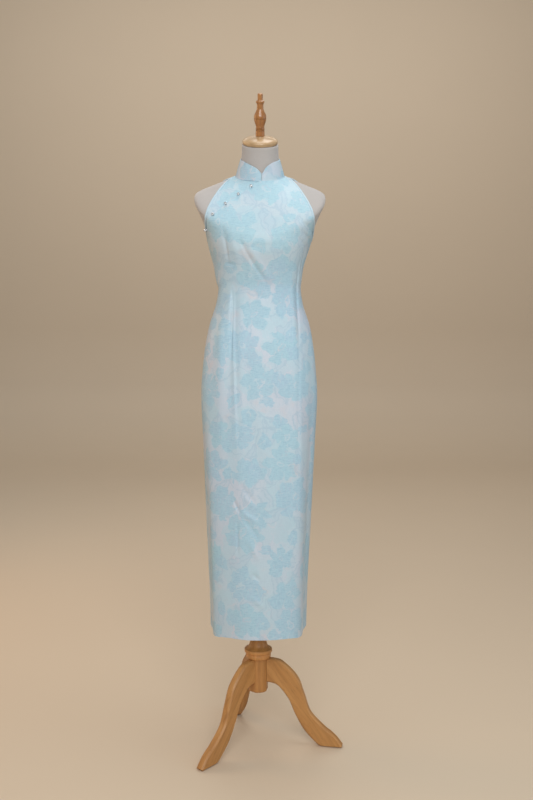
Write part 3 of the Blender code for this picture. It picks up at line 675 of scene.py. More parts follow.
def make_flowers():
    """The woven pattern as a group, from a place on the cloth to how much of each kind covers it."""
    tree = bpy.data.node_groups.new("woven_flowers", "ShaderNodeTree")
    tree.interface.new_socket("Place", in_out="INPUT", socket_type="NodeSocketVector")
    for kind in FLOWER_KINDS:
        tree.interface.new_socket(kind, in_out="OUTPUT", socket_type="NodeSocketFloat")
    place = tree.nodes.new("NodeGroupInput").outputs["Place"]
    washed, _ = blossoms(shifted(place, 1.07, 0.33), 0.128, 0.70, 0.058, 0.30)
    large, large_tone = blossoms(shifted(place, 0.41, 2.13), 0.104, 0.72, 0.045, 0.45)
    small, small_tone = round_petals(shifted(place, 2.71, 1.49), 0.078, 0.80, 0.021, 0.0165)
    leaves, lines = long_leaves(shifted(place, 3.37, 0.91), 0.086, 0.75, 0.046, 0.0145, 0.0020)
    winding = noise(shifted(place, 7.0, 3.0), 6.5, 1.0, 0.4)
    stems = 0.0075 - (winding - 0.5).absolute()
    small_on = small.soft_step(-0.0003, 0.0007)
    covers = (washed.soft_step(-0.0005, 0.0012), leaves.soft_step(-0.0003, 0.0007),
              lines.soft_step(-0.0010, 0.0010).maximum(stems.soft_step(0.0, 0.0025)),
              large.soft_step(-0.0003, 0.0007).maximum(small_on),
              large_tone + (small_tone * 0.5 + 0.5 - large_tone) * small_on)
    add_node(tree, "NodeGroupOutput", dict(zip(FLOWER_KINDS, covers)))
    return tree


FLOWER_KINDS = ("Washed", "Leaves", "Lines", "Solid", "Tone")
FLOWERS = make_flowers()
GROUND_COOL = (0.460, 0.585, 0.660)
GROUND_WARM = (0.512, 0.562, 0.640)
GROUND_BLUSH = (0.555, 0.535, 0.575)
GROUND_SHADE = (0.418, 0.525, 0.612)
# painted light: a lighter, greener ground for the upper bodice, standing in for light from above
GROUND_PAINTED_TOP_LIGHT = (0.470, 0.600, 0.648)
WASH = (0.400, 0.572, 0.648)
LEAF = (0.425, 0.540, 0.635)
AQUA = (0.318, 0.530, 0.625)
AQUA_LIGHT = (0.385, 0.580, 0.668)
# painted highlight: the upper bodice's motifs in a lighter, greener tone, for light from above
MOTIF_PAINTED_TOP_LIGHT = (0.338, 0.556, 0.618)
BLUE = (0.330, 0.495, 0.625)
BLUE_DEEP = (0.295, 0.445, 0.560)
THREAD = (0.00085, 0.0007)               # the woven edges' steps, across and up
WANDERING = ((30.0, 170.0), (33.0, 150.0))  # and the scales that they wander at


def cloth_material(name, offset, top_light_paint=0.60):
    """Satin with flowers woven in: a pale ground, aqua and blue motifs with ragged woven edges.

    The upper bodice is painted lighter and greener by the share given, a painted highlight for light falling
    from above.
    """
    made, shader = new_material(name, Roughness=0.46, Specular_IOR_Level=0.32, Sheen_Weight=0.08,
                                Sheen_Roughness=0.4)
    place = pattern_place(shader)
    aside = mapped(place, location=(3.1, 1.7, 0))
    # the motifs' edges step from thread to thread, and wander
    moved = []
    for straight, seen, sizes, step, start in zip(parts(place), (place, aside), WANDERING, THREAD, offset):
        far, near = (noise(seen, size, 1.0) for size in sizes)
        moved.append((straight + (far - 0.5) * 0.036 + (near - 0.5) * 0.0090).snap(step) + start)
    moved = add_node(shader, "ShaderNodeCombineXYZ", dict(enumerate(moved))).outputs[0]
    flowers = add_node(shader, "ShaderNodeGroup", {"Place": moved}, node_tree=FLOWERS)
    washed, leaves, lines, solid, tone = (Value(flowers.outputs[kind]) for kind in FLOWER_KINDS)
    # streaks where threads float in and out
    upright = noise(mapped(place, (330, 70, 1)), 1.0, 2.0, 0.6)
    level = noise(mapped(place, (80, 380, 1)), 1.0, 2.0, 0.6)
    streaks = (upright + level) * 0.5
    fine = noise(mapped(place, (900, 160, 1)), 1.0)
    # painted highlight: the upper bodice is tinted lighter and greener, as if lit from above
    painted_top_light = parts(place)[1].soft_step(-0.27, -0.13) * top_light_paint
    ground = layered(
        GROUND_COOL, (noise(place, 7.0).soft_step(0.35, 0.65), GROUND_WARM),
        (noise(aside, 19.0).soft_step(0.56, 0.72) * 0.7, GROUND_BLUSH), (painted_top_light, GROUND_PAINTED_TOP_LIGHT),
        (washed * 0.50, WASH), (leaves * 0.35, LEAF), (streaks.soft_step(0.44, 0.62) * 0.50, GROUND_SHADE))
    motif = layered(
        AQUA, (tone, BLUE), (painted_top_light, MOTIF_PAINTED_TOP_LIGHT), (upright.soft_step(0.45, 0.60) * 0.75, AQUA_LIGHT),
        (level.soft_step(0.50, 0.64) * 0.55, BLUE_DEEP))
    colour = layered(
        ground, (lines * 0.34, BLUE_DEEP), (solid * (0.56 + streaks.soft_step(0.40, 0.58) * 0.34), motif))
    feed(shader, colour, 0.46 + solid * 0.12 + (fine - 0.5) * 0.08)
    bump(shader, fine * 0.3 + level * 0.7, 0.00035, 0.6)
    return made


# ---- other finishes
def binding_material():
    made, shader = new_material("binding_satin", Roughness=0.50, Specular_IOR_Level=0.3, Sheen_Weight=0.08)
    place = pattern_place(shader)
    weave = noise(mapped(place, (700, 260, 1), (0, 0, radians(45))), 1.0)
    feed(shader, layered((0.46, 0.59, 0.67), (weave.soft_step(0.3, 0.8) * 0.4, (0.39, 0.52, 0.61)),
                         (noise(place, 30.0) * 0.4, (0.43, 0.56, 0.64))))
    bump(shader, weave, 0.00015, 0.6)
    return made


def form_material():
    """The form's matt knit cover."""
    made, shader = new_material("form_knit", Roughness=0.88, Specular_IOR_Level=0.25, Sheen_Weight=0.25,
                                Sheen_Roughness=0.5)
    place = object_place(shader)
    rib = noise(mapped(place, (900, 900, 350)), 1.0)
    feed(shader, layered((0.410, 0.384, 0.368),
                         (noise(place, 9.0, 3.0).soft_step(0.25, 0.75) * 0.6, (0.458, 0.432, 0.415)),
                         (rib.soft_step(0.35, 0.75) * 0.35, (0.355, 0.333, 0.320))))
    bump(shader, rib * 0.7 + noise(place, 1400.0, 1.0) * 0.3, 0.0004, 0.7)
    return made


def wood_material(name, light, dark, along, roughness, coat, scale=1.0, flecks=0.55, turn=(0, 0, 0),
                  dark_line_heights=()):
    """Varnished wood with grain along one axis of the piece, short flecks, and darker lines at given heights.
    """
    made, shader = new_material(name, Roughness=roughness, Coat_Weight=coat, Coat_Roughness=0.18,
                                Specular_IOR_Level=0.5)
    whole = object_place(shader)
    place = mapped(whole, rotation=turn)

    def stretched(with_grain, across_grain, *texture):
        size = tuple((with_grain if axis else across_grain) * scale for axis in along)
        return noise(mapped(place, size), 1.0, *texture)

    bands = stretched(2.2, 48.0, 3.0, 0.55, 0.6)
    grain = stretched(7.0, 95.0, 4.0, 0.6, 0.3)
    fleck = stretched(60.0, 640.0)
    colour = layered(light, (bands.soft_step(0.30, 0.72), dark),
                     (grain.soft_step(0.42, 0.74) * 0.60, shade(dark, 0.70)),
                     (fleck.soft_step(0.60, 0.74) * flecks, shade(dark, 0.50)))
    _, height = parts(mapped(whole, rotation=(-pi / 2, 0, 0)))
    # darker lines at the given heights
    for at in dark_line_heights:
        line = 1.0 - (height - at).absolute().soft_step(0.0003, 0.0008)
        colour = blend(line * 0.60, colour, shade(dark, 0.30))
    feed(shader, colour, roughness + (grain - 0.5) * 0.12)
    bump(shader, grain * 0.6 + fleck * 0.4, 0.00025, 0.35)
    return made


def bead_material(name, light, dark, glassy):
    made, shader = new_material(name, Roughness=0.05, Transmission_Weight=glassy, IOR=1.55,
                                Specular_IOR_Level=0.7, Coat_Weight=0.8, Coat_Roughness=0.03)
    feed(shader, blend(noise(object_place(shader), 260.0), dark, light))
    return made


def plain_material(name, colour, roughness):
    made, shader = new_material(name, Roughness=roughness)
    feed(shader, blend(noise(object_place(shader), 1.5), shade(colour, 0.985), shade(colour, 1.015)))
    return made


# ---- the dress
ROW_SPACING = 0.0042
UNDERARM_LEVELS = (8.4, 8.5, 8.6, 8.65)     # closer rows where the armhole and the slanting edge end


def panel_levels():
    """Levels at even steps down the front's middle line, and the armhole's ends."""
    lengths = np.linspace(0, FRONT_LENGTHS[-1], int(FRONT_LENGTHS[-1] / ROW_SPACING) + 1)
    extra = [ARMHOLE_TOP, UNDERARM, *UNDERARM_LEVELS]
    return np.unique(np.concatenate([np.interp(lengths, FRONT_LENGTHS, MAP_LEVELS), extra]).round(6))


def seam_sink(angle, level, sewn):
    """How far the cloth dips towards its sewn side edges, with small puckers along them."""
    length = np.interp(level, MAP_LEVELS, FRONT_LENGTHS)
    pucker = 1 + 0.35 * np.sin(length * 2 * pi / 0.021 + 1.3 * np.sin(length * 31.0))
    sink = np.zeros(angle.shape)
    for away in (angle - angle[:, :1], angle[:, -1:] - angle):
        distance = np.radians(away) * half_width(level)
        sink = sink + sewn * (0.0007 * np.exp(-(distance / 0.0016)**2)
                              + 0.00035 * pucker * np.exp(-(distance / 0.006)**2))
    return sink


def wall_depth(angle, level):
    """Thickness of the cloth, with the turned-up hem."""
    height = face_point(angle, level)[..., 2]
    return CLOTH_WALL + HEM_EXTRA * np.clip((HEM_HEIGHT + HEM_DEPTH - height) / 0.0015, 0, 1)


def crowded_columns(columns, closer):
    """Shares across a panel, closer near its edges and near (share, reach, gain) places."""
    places = np.linspace(0, 1, 2001)
    density = 1 + 1.6 * (np.exp(-(places / 0.03)**2) + np.exp(-((1 - places) / 0.03)**2))
    for centre, reach, gain in closer:
        density = density + gain * np.exp(-((places - centre) / reach)**2)
    total = np.concatenate([[0], np.cumsum((density[1:] + density[:-1]) / 2)])
    return np.interp(np.linspace(0, 1, columns), total / total[-1], places)


def eased_columns(columns, crowd):
    """Shares across a panel, closer near its edges."""
    share = np.linspace(0, 1, columns)
    return share - crowd * np.sin(2 * pi * share) / (2 * pi)


def panel_grid(first, last, levels, share):
    angle = first[:, None] + (last - first)[:, None] * share
    return angle, np.repeat(levels[:, None], len(share), axis=1)


def add_cloth(name, node, offset, angle, level, middle, depths, lift=0.0, shift=0.0):
    """A panel of cloth as a thin wall, and its places on the flat cloth."""
    flat = flat_place(angle, level, middle)
    uv = np.tile(np.stack([(flat + shift).real, (flat + shift).imag], -1).reshape(-1, 2), (2, 1))
    material = cloth_material(name.replace("cloth", "jacquard"), offset)
    wall = shell(*cloth_walls(angle, level, middle, depths, lift))
    return add_piece(name, wall, 50, material, node, uv=uv), flat


def make_front(levels):
    first = opening_angle(levels) + seam_allowance(levels)
    last = -armhole_angle(levels, 1) - seam_allowance(levels)
    share = crowded_columns(158, [(0.30, 0.055, 2.0), (0.80, 0.05, 0.7)])
    angle, level = panel_grid(first, last, levels, share)
    lift = -seam_sink(angle, level, (level >= UNDERARM) * 1.0)
    from_edge = np.radians(angle - angle[:, :1]) * half_width(level) * 0.8
    rolled = (level < OPENING[-1, 0]) * np.exp(-((from_edge - EDGE_ROLL / 2) / (EDGE_ROLL / 2))**2)
    return add_cloth("cloth_front", "dress_front", (0.061, 0.128), angle, level, FRONT,
                     (0.0, wall_depth(angle, level)), lift + 0.00045 * rolled)


def make_back(levels):
    edge = armhole_angle(levels, 2) + seam_allowance(levels)
    angle, level = panel_grid(edge, 180.0 - edge, levels, eased_columns(120, 0.35))
    sewn = ((level >= UNDERARM) | (level <= ARMHOLE_TOP)) * 1.0
    return add_cloth("cloth_back", "dress_back", (0.197, 0.300), angle, level, BACK,
                     (0.0, wall_depth(angle, level)), -seam_sink(angle, level, sewn))


def make_underlap(levels):
    """The right shoulder's piece, which sinks below the face before it meets the slanting edge."""
    levels = levels[levels < UNDERARM + UNDERLAP_TAIL]
    first = -180.0 + armhole_angle(levels, 1) + seam_allowance(levels)
    edge = opening_angle(levels)
    last = edge + np.degrees(OVERLAP_WIDTH / half_width(levels))
    angle, level = panel_grid(first, last, levels, np.linspace(0, 1, 64))
    shown = (edge - first)[:, None]
    sink = np.clip((angle - angle[:, :1]) / (SINK_SHARE * np.maximum(shown, SINK_ANGLE)), 0, 1)
    depth = UNDERLAP_DEPTH * np.where(shown < SINK_ANGLE, 1.0, sink * sink * (3 - 2 * sink))
    return add_cloth("cloth_underlap", "dress_underlap", (0.061, 0.128), angle, level, FRONT,
                     (depth, depth + CLOTH_WALL * 0.9), shift=0.083 + 0.041j)


def on_neck(turn, height, radius):
    """A point about the neck's bent axis, at a height along it."""
    along = radius * np.sin(turn)
    tilt = NECK_TILT + (CAP_TILT - NECK_TILT) * np.clip(height / NECK_TOP, 0, 1)**2
    y = NECK_CENTRE_Y + along * np.cos(tilt) - height * sin(NECK_TILT)
    z = NECK_CENTRE_Z + along * np.sin(tilt) + height * cos(NECK_TILT)
    return np.stack(np.broadcast_arrays(radius * np.cos(turn), y, z), -1) + AXIS


def collar_top(turn):
    from_front = ((turn + pi / 2 - COLLAR_TURN + pi) % (2 * pi) - pi) * NECK_SEAM_RADIUS
    place, right, left = COLLAR_EDGE.T
    return np.where(from_front < 0, smooth_curve(place, right, -from_front),
                    smooth_curve(place, left, from_front))


def collar_radius(height):
    return NECK_SEAM_RADIUS + (COLLAR_TOP_RADIUS - NECK_SEAM_RADIUS) * height / COLLAR_HEIGHT


def make_collar():
    """The stand collar: one stiffened band with a rounded rim and a fine edge seam."""
    columns, rows, round_rows = 260, 26, 5
    low, rim = -0.0006, 0.0008
    half_gap = 0.0006 / NECK_SEAM_RADIUS
    turn = COLLAR_TURN - pi / 2 + half_gap + eased_columns(columns, 0.8) * (2 * pi - 2 * half_gap)
    top = collar_top(turn)
    outside, inside = [], []
    for part in np.linspace(0, 1, rows):
        height = low + (top - rim - low) * part
        bulge = 0.00025 * np.exp(-((top - height - 0.0022) / 0.0011)**2) + 0.0004 * np.sin(pi * part)
        bulge = bulge + 0.0011 * np.exp(-((height - low) / 0.0016)**2)
        outside.append((height, collar_radius(height) + bulge))
        inside.append((height, collar_radius(height) - COLLAR_WALL))
    for step in range(1, round_rows):
        height = top - rim + rim * sin(pi * step / round_rows)
        in_wall = COLLAR_WALL / 2 * (1 - cos(pi * step / round_rows))
        outside.append((height, collar_radius(height) - in_wall))
    sections = [*outside, *inside[::-1]]
    points = np.array([on_neck(turn, height, radius) for height, radius in sections])
    flat = np.stack([np.tile(turn * NECK_SEAM_RADIUS, (len(sections), 1)),
                     np.array([height for height, _ in sections])], -1)
    place = numbered(flat)
    faces = quads(np.concatenate([place, place[:1]]).T)
    half = len(sections) // 2
    for end in (place[:, 0], place[::-1, -1]):
        faces += quads(np.stack([end[:half], end[::-1][:half]], -1))
    material = cloth_material("jacquard_collar", (0.05, 0.92), top_light_paint=0.0)
    return add_piece("cloth_collar", (points.reshape(-1, 3), faces), 50, material,
                     "dress_collar", uv=flat.reshape(-1, 2))


def slide(angle, level, way):
    """The places reached by moving along the face by short vectors."""
    moved = np.linalg.pinv(np.stack(face_ways(angle, level), -1)) @ way[..., None]
    return angle + moved[..., 0, 0], level + moved[..., 1, 0]


def armhole_path(side, count=90):
    """Even places round an armhole, front side down and back side up, and the length so far."""
    share = (1 - np.cos(np.linspace(0, pi, count))) / 2
    rows = ARMHOLE_TOP + (UNDERARM - ARMHOLE_TOP) * share
    turn = np.concatenate([-armhole_angle(rows, 1), armhole_angle(rows, 2)[-2:0:-1]])
    level = np.concatenate([rows, rows[-2:0:-1]])
    if side == "right":
        turn = 180.0 - turn
    turn, level = np.append(turn, turn[0]), np.append(level, level[0])
    steps = np.linalg.norm(np.diff(face_point(turn, level), axis=0), axis=1)
    lengths = np.concatenate([[0], np.cumsum(steps)])
    even = np.linspace(0, lengths[-1], 2 * count + 1)[:-1]
    return np.interp(even, lengths, turn), np.interp(even, lengths, level), even


# across the band, from the armhole's edge over the top to the sewn edge: place across, and up
BINDING_PROFILE = [
    (-0.0009, -0.0023), (-0.0012, -0.0008), (-0.001, 0.0003), (-0.0001, 0.001), (0.0014, 0.0011),
    (0.0028, 0.001), (0.0038, 0.0008), (0.0044, 0.0004), (0.0044, 0.0001), (0.0026, 0.0001),
    (0.0002, 0.0001), (0, -0.0023),
]


def make_binding(side, material):
    """A folded edge binding: a low rounded band over the panels' edge."""
    turn, level, length = armhole_path(side)
    normal = face_normal(turn, level)
    base = face_point(turn, level) + normal * fold_height(turn, level)[:, None]
    inward = np.cross(np.roll(base, -1, axis=0) - np.roll(base, 1, axis=0), normal)
    inward *= (-1 if side == "right" else 1) / np.linalg.norm(inward, axis=1, keepdims=True)
    sections = []
    for across, up in BINDING_PROFILE:
        angle, row = slide(turn, level, inward * across)
        row = np.maximum(row, LEVEL_STEP)
        raised = (up + fold_height(angle, row))[:, None]
        sections.append(face_point(angle, row) + face_normal(angle, row) * raised + AXIS)
    sections = np.stack(sections, axis=1)
    faces = quads(np.pad(numbered(sections), ((0, 1), (0, 1)), mode="wrap"))
    flat = np.stack(np.broadcast_arrays(length[:, None], 0.0008 * np.arange(len(BINDING_PROFILE))), -1)
    return add_piece(f"cloth_binding_{side}", (sections.reshape(-1, 3), faces), 70, material,
                     f"binding_{side}", uv=flat.reshape(-1, 2))


def bead(radius, heights, upright, centre):
    """A round bead about its own axis, cut off flat at both ends."""
    rings = []
    for number, up in enumerate(heights):
        turn = round_angles(12, number % 2 * pi / 12)
        rings.append(ring(sqrt(1.115 - up * up), turn, up) / 1.056)
    points, faces = tube(np.array(rings) * radius)
    return points @ upright.T + centre, faces


def make_buttons():
    """Faceted crystal beads, each held by a small dark stop bead."""
    crystal = bead_material("clear_crystal", (0.88, 0.90, 0.92), (0.62, 0.62, 0.66), 0.50)
    stop = bead_material("bronze_stop_bead", (0.30, 0.22, 0.18), (0.18, 0.13, 0.11), 0.0)
    radius = BUTTON_RADIUS * 0.97
    for number, level in enumerate(BUTTON_LEVELS, 1):
        here = np.array(level)
        normal = face_normal(opening_angle(here), here)
        upright = np.array(Vector(normal.tolist()).to_track_quat("Z", "Y").to_matrix())
        centre = np.mean(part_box(f"button_{number}"), axis=0)
        large = bead(radius, (1.0, 0.62, 0.0, -0.62, -1.0), upright, centre)
        add_piece(f"bead_{number}", large, 10, crystal, f"button_{number}")
        small = bead(0.0009, (0.8, 0.4, 0.0, -0.4, -0.8), upright, centre + normal * (radius + 0.0003))
        add_piece(f"stop_bead_{number}", small, 60, stop)


# ---- the form and its cap
def make_form():
    turn = round_angles(144)
    angle = np.degrees(turn)
    heights = smooth_rows(np.array(NECK_RINGS[2:]), np.linspace(0, len(NECK_RINGS) - 3, 25))
    rings = [on_neck(turn, height, radius) for height, radius in [*NECK_RINGS[:2], *heights]]
    reach = np.interp(FORM_BOTTOM, MAP_LEVELS, FRONT_LENGTHS)
    for level in np.interp(np.linspace(0.0, reach - 0.004, 170), FRONT_LENGTHS, MAP_LEVELS):
        front_ease, back_ease = smooth_rows(SECTIONS, level)[8:]
        ease = front_ease + (back_ease - front_ease) * ((1 + np.sin(turn)) / 2)
        # the padding fills out the shoulders, and under the cloth it keeps a little clear of the creases
        ease = ease - 0.0006 * np.clip((5.0 - level) / 2.0, 0, 1)
        ease = ease + 0.0030 * np.clip((level - 9.2) / 1.2, 0, 1)
        around = np.full(len(turn), level)
        rings.append(face_point(angle, around) - face_normal(angle, around) * ease[:, None] + AXIS)
    last = rings[-1]
    centre = last.mean(0)
    for inset, drop in ((0.0015, 0.0025), (0.0040, 0.0038), (0.0500, 0.0040)):
        closing = centre + (last - centre) * (1 - inset / 0.13)
        closing[:, 2] = np.maximum(last[:, 2] - drop, FORM_FOOT)
        rings.append(closing)
    add_piece("form_cover", tube(rings), 60, form_material(), "form_torso")


def dense_profile(profile, grooves=()):
    """A smooth profile through points, with fine turned grooves of (height, reach, depth) cut in."""
    table = np.array(profile, float)
    fine = smooth_rows(table, np.linspace(0, len(table) - 1, (len(table) - 1) * 6 + 1))
    marks = [height + reach * share for height, reach, _ in grooves for share in (-1, -0.5, 0, 0.5, 1)]
    if not marks:
        return fine
    heights = np.unique(np.concatenate([fine[:, 1], marks]).round(7))
    radius = np.interp(heights, fine[:, 1], fine[:, 0])
    for height, reach, depth in grooves:
        radius = radius - depth * np.clip(1 - np.abs(heights - height) / reach, 0, 1)
    return np.stack([radius, heights], -1)


def on_cap(height):
    """Where a turned piece sits, at a height above the neck's top."""
    seat = on_neck(0.0, NECK_TOP, 0.0) + height * np.array([0.0, -sin(CAP_TILT), cos(CAP_TILT)])
    return Matrix.Translation(seat.tolist()) @ Matrix.Rotation(CAP_TILT, 4, "X")


CAP_PROFILE = [(0.0425, 0), (0.0444, 0.0008), (0.0456, 0.003), (0.0467, 0.0072), (0.0452, 0.0108),
               (0.04, 0.0146), (0.0322, 0.0178), (0.0222, 0.0206), (0.0125, 0.022)]
FINIAL_PROFILE = [
    (0.0111, 0), (0.0118, 0.001), (0.0118, 0.01), (0.0118, 0.02), (0.0111, 0.023), (0.0114, 0.026),
    (0.014, 0.0335), (0.0158, 0.0405), (0.0163, 0.0465), (0.0151, 0.0535), (0.0116, 0.0605),
    (0.009, 0.067), (0.0085, 0.074), (0.0089, 0.0805), (0.0111, 0.084), (0.0106, 0.0875),
    (0.0072, 0.09), (0.0067, 0.093), (0.0067, 0.103), (0.006, 0.1058), (0.003, 0.107),
]
HUB_PROFILE = [
    (0.0325, 0.2365), (0.0344, 0.2395), (0.0347, 0.245), (0.0338, 0.2505), (0.0376, 0.253),
    (0.0382, 0.2575), (0.0374, 0.2615), (0.0335, 0.2635), (0.0268, 0.2695), (0.0234, 0.278),
    (0.0206, 0.29), (0.019, 0.3),
]
FINIAL_GROOVES = [(0.0212, 0.001, 0.0013), (0.0176, 0.001, 0.0013), (0.014, 0.001, 0.0012),
                  (0.0448, 0.0007, 0.001), (0.0866, 0.0005, 0.0006)]
# darker lines at the heights of the finial's lower grooves
GROOVE_DARK_LINES = [height for height, _, _ in FINIAL_GROOVES[:4]]
HUB_GROOVES = [(0.2512, 0.0005, 0.0005)]
POLE_PROFILE = [(0.017, height) for height in (0.3003, 0.45, 0.6, 0.8697)]
ON_AXIS = Matrix.Translation(AXIS.tolist())


def add_turned(name, profile, sides, matrix, material, node):
    """A turned piece about Z, from a profile of (radius, height), bottom up."""
    turn = round_angles(sides)
    rings = [ring(radius, turn, height) for radius, height in profile[::-1]]
    add_piece(name, tube(rings), 42, material, node, matrix)


def make_turned_pieces():
    maple = wood_material("maple_varnish", (0.560, 0.385, 0.215), (0.465, 0.300, 0.150), (1, 0, 0),
                          0.34, 0.5, 0.9, flecks=0.12)
    honey = wood_material("honey_varnish", (0.430, 0.195, 0.062), (0.310, 0.125, 0.036), (0, 0, 1),
                          0.28, 0.5, 1.3, flecks=0.25, dark_line_heights=GROOVE_DARK_LINES)
    # painted light: the hub and pole get a lighter copy of the beech than the post and legs, against the
    # dress's shade on them
    hub_wood_painted_light = wood_material("beech_hub_painted_light", (0.640, 0.300, 0.090), (0.520, 0.228, 0.063), (0, 0, 1), 0.45, 0.12)
    add_turned("cap_turned", dense_profile(CAP_PROFILE), 96, on_cap(0.0003), maple, "neck_cap")
    add_turned("finial_turned", dense_profile(FINIAL_PROFILE, FINIAL_GROOVES), 64,
               on_cap(CAP_PROFILE[-1][1] + 0.0006), honey, "finial")
    add_turned("hub_turned", dense_profile(HUB_PROFILE, HUB_GROOVES), 96, ON_AXIS, hub_wood_painted_light,
               "stand_hub")
    add_turned("pole_turned", POLE_PROFILE, 64, ON_AXIS, hub_wood_painted_light, "stand_pole")


# ---- the stand
def make_post():
    """The post's block: round, with a flat for each leg and a rounded foot."""
    turn = round_angles(144, FIRST_LEG)
    to_flat = (turn - FIRST_LEG + pi / LEGS) % (2 * pi / LEGS) - pi / LEGS
    radius = np.minimum(0.0275, 0.0255 / np.cos(to_flat))
    foot, rounding = 0.1430, 0.0050
    profile = [(0.2362, 0.0003), (0.2359, 0.0), (0.200, 0.0), (0.170, 0.0)]
    for bend in np.linspace(0, pi / 2, 7):
        profile.append((foot + rounding * (1 - sin(bend)), rounding * (1 - cos(bend))))
    rings = [ring(radius - inset, turn, height) for height, inset in profile]
    post = wood_material("beech_post", (0.490, 0.232, 0.070), (0.400, 0.176, 0.047), (0, 0, 1), 0.50, 0.08)
    add_piece("post_block", tube(rings), 30, post, "stand_post", ON_AXIS)


# outer edge's distance from the axis and height, then the inner edge's
LEG_STATIONS = np.array([
    (0.0258, 0.2358, 0.0258, 0.17), (0.048, 0.2345, 0.043, 0.1675), (0.07, 0.2265, 0.06, 0.159),
    (0.109, 0.189, 0.0865, 0.126), (0.129, 0.14, 0.1045, 0.086), (0.147, 0.092, 0.129, 0.044),
    (0.185, 0.0535, 0.16, 0.0115), (0.204, 0.0395, 0.178, 0), (0.22, 0.025, 0.2, 0),
    (0.235, 0.006, 0.23, 0),
])
LEG_HALF = 0.01125
LEG_CHAMFER = 0.0042


def make_legs():
    """Bowed boards with slightly rounded chamfers, four points from face to face."""
    wood = wood_material("beech_legs", (0.505, 0.250, 0.078), (0.405, 0.182, 0.050), (1, 0, 0), 0.52, 0.06,
                         turn=(0, radians(-52), 0))
    rings = []
    for outer_x, outer_z, inner_x, inner_z in smooth_rows(LEG_STATIONS, np.linspace(0, 9, 73)):
        outer = np.array([outer_x, 0.0, max(outer_z, 0.0)])
        inner = np.array([inner_x, 0.0, max(inner_z, 0.0)])
        span = np.linalg.norm(inner - outer)
        chamfer = min(LEG_CHAMFER, 0.4 * span)
        into = (inner - outer) / span * chamfer
        points = []
        for edge, sign, away in ((outer, -1, into), (outer, 1, into), (inner, 1, -into), (inner, -1, -into)):
            steps = (0.0, 0.10, 0.90, 1.0)
            for step in steps if (edge is outer) == (sign > 0) else steps[::-1]:
                aside = np.array([0.0, sign * (LEG_HALF - chamfer * (1 - step)), 0.0])
                points.append(edge + aside + away * step)
        rings.append(points)
    rings = np.array(rings)
    rings[0, :, 0] = LEG_STATIONS[0, 0]
    for number in range(LEGS):
        matrix = ON_AXIS @ Matrix.Rotation(FIRST_LEG + 2 * pi / LEGS * number, 4, "Z")
        add_piece(f"leg_board_{number + 1}", tube(rings), 28, wood, f"leg_{number + 1}", matrix)


# ---- what the cloth is
def cut_size(flat):
    """Width and length of the smallest rectangle that holds a cut."""
    laid = [flat * np.exp(-1j * turn) for turn in np.radians(np.arange(0, 90, 1.0))]
    sizes = [(float(np.ptp(cut.real)), float(np.ptp(cut.imag))) for cut in laid]
    return min(sizes, key=lambda size: size[0] * size[1])


def cut_area(flat):
    """Flat area of a panel's grid, from the two diagonals of each cell."""
    falling, rising = flat[1:, 1:] - flat[:-1, :-1], flat[1:, :-1] - flat[:-1, 1:]
    return float(np.abs((falling.conj() * rising).imag).sum() / 2)


def describe_cloth(panels):
    for piece, flat in panels:
        size = cut_size(flat)
        area = min(cut_area(flat), size[0] * size[1])


# ---- the floor, the light, the camera
# how far back and how high the floor's sweep runs
SWEEP = [(-7, 0), (5, 0), (5.4, 0.02), (5.8, 0.1), (6.15, 0.3), (6.4, 0.65), (6.5, 1.2), (6.55, 7)]
# name, place, aim, size, power, colour
LIGHTS = [
    ("key_light", (0.05, -2.7, 2.1), (0, 0, 0.98), (1.8, 1.8), 61, (0.98, 0.985, 0.98)),
    ("top_light", (0.2, 0, 3.2), (0, 0, 0.9), (1.2, 1.2), 19, (1, 0.98, 0.95)),
    ("left_fill", (-2.3, 0.95, 1.7), (0, 0, 0.8), (1, 1.6), 14, (1, 0.58, 0.26)),
    ("right_fill", (2.4, -0.6, 1.4), (0, 0, 1), (1.4, 2), 8, (0.68, 0.87, 1)),
    ("wall_light", (0, 3.6, 4.8), (0, 6.4, 0.6), (6, 1.5), 88, (1, 0.97, 0.92)),
    ("back_light", (-0.6, 2.6, 2.9), (0, 0, 1), (1.6, 1.6), 16, (0.96, 0.98, 1)),
]
MATT_LIGHTS = ("back_light",)      # lights that no gloss mirrors
PHOTO_HEIGHT = 800                 # in pixels
FOCAL_LENGTH = 888                 # in the photograph's pixels
SENSOR = 36.0
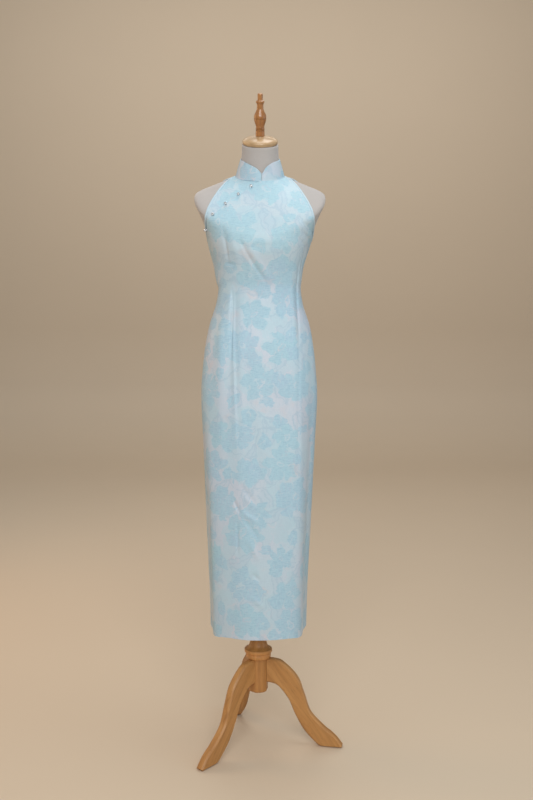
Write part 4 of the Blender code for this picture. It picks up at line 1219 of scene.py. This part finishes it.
CAMERA_PLACE = (AXIS[0] + 0.0197, AXIS[1] - 2.4, 1.1136)
CAMERA_PITCH, CAMERA_ROLL = radians(3.954), radians(-0.24)
FLOOR_GAP = 0.0005                 # keeps the floor clear of the feet


def make_stage():
    grid = np.array([[(across, back, up) for across in np.linspace(-8, 8, 9)] for back, up in SWEEP])
    sweep = add_mesh("studio_sweep", grid.reshape(-1, 3), quads(numbered(grid).T), 80)
    sweep.data.materials.append(plain_material("pale_floor", (0.595, 0.485, 0.362), 0.6))
    sweep.location.z = -FLOOR_GAP


def make_lights():
    for name, place, aim, size, power, colour in LIGHTS:
        light = bpy.data.lights.new(name, "AREA")
        light.shape = "RECTANGLE"
        light.size, light.size_y = size
        light.energy = power
        light.color = colour
        made = add_object(name, light)
        made.location = place
        made.rotation_euler = (Vector(aim) - Vector(place)).to_track_quat("-Z", "Y").to_euler()
        made.visible_glossy = name not in MATT_LIGHTS
    world = bpy.data.worlds.new("studio_air")
    bpy.context.scene.world = world
    world.use_nodes = True
    background = world.node_tree.nodes["Background"]
    background.inputs["Color"].default_value = (0.86, 0.86, 0.86, 1)
    background.inputs["Strength"].default_value = 0.38


def make_camera():
    """The camera where the photograph was taken from, tipped down and rolled a little."""
    data = bpy.data.cameras.new("camera")
    data.sensor_width = SENSOR
    data.lens = FOCAL_LENGTH / PHOTO_HEIGHT * SENSOR
    data.clip_start, data.clip_end = 0.05, 60
    camera = add_object("camera", data)
    camera.matrix_world = (Matrix.Translation(CAMERA_PLACE) @ Matrix.Rotation(pi / 2 - CAMERA_PITCH, 4, "X")
                           @ Matrix.Rotation(-CAMERA_ROLL, 4, "Z"))
    bpy.context.scene.camera = camera


row_levels = panel_levels()
panels = [make_front(row_levels), make_back(row_levels), make_underlap(row_levels)]
collar = make_collar()
satin = binding_material()
bindings = [make_binding(side, satin) for side in ("left", "right")]
make_buttons()
make_form()
make_turned_pieces()
make_post()
make_legs()
describe_cloth(panels)
make_stage()
make_lights()
make_camera()
bpy.context.scene.view_settings.view_transform = "Standard"
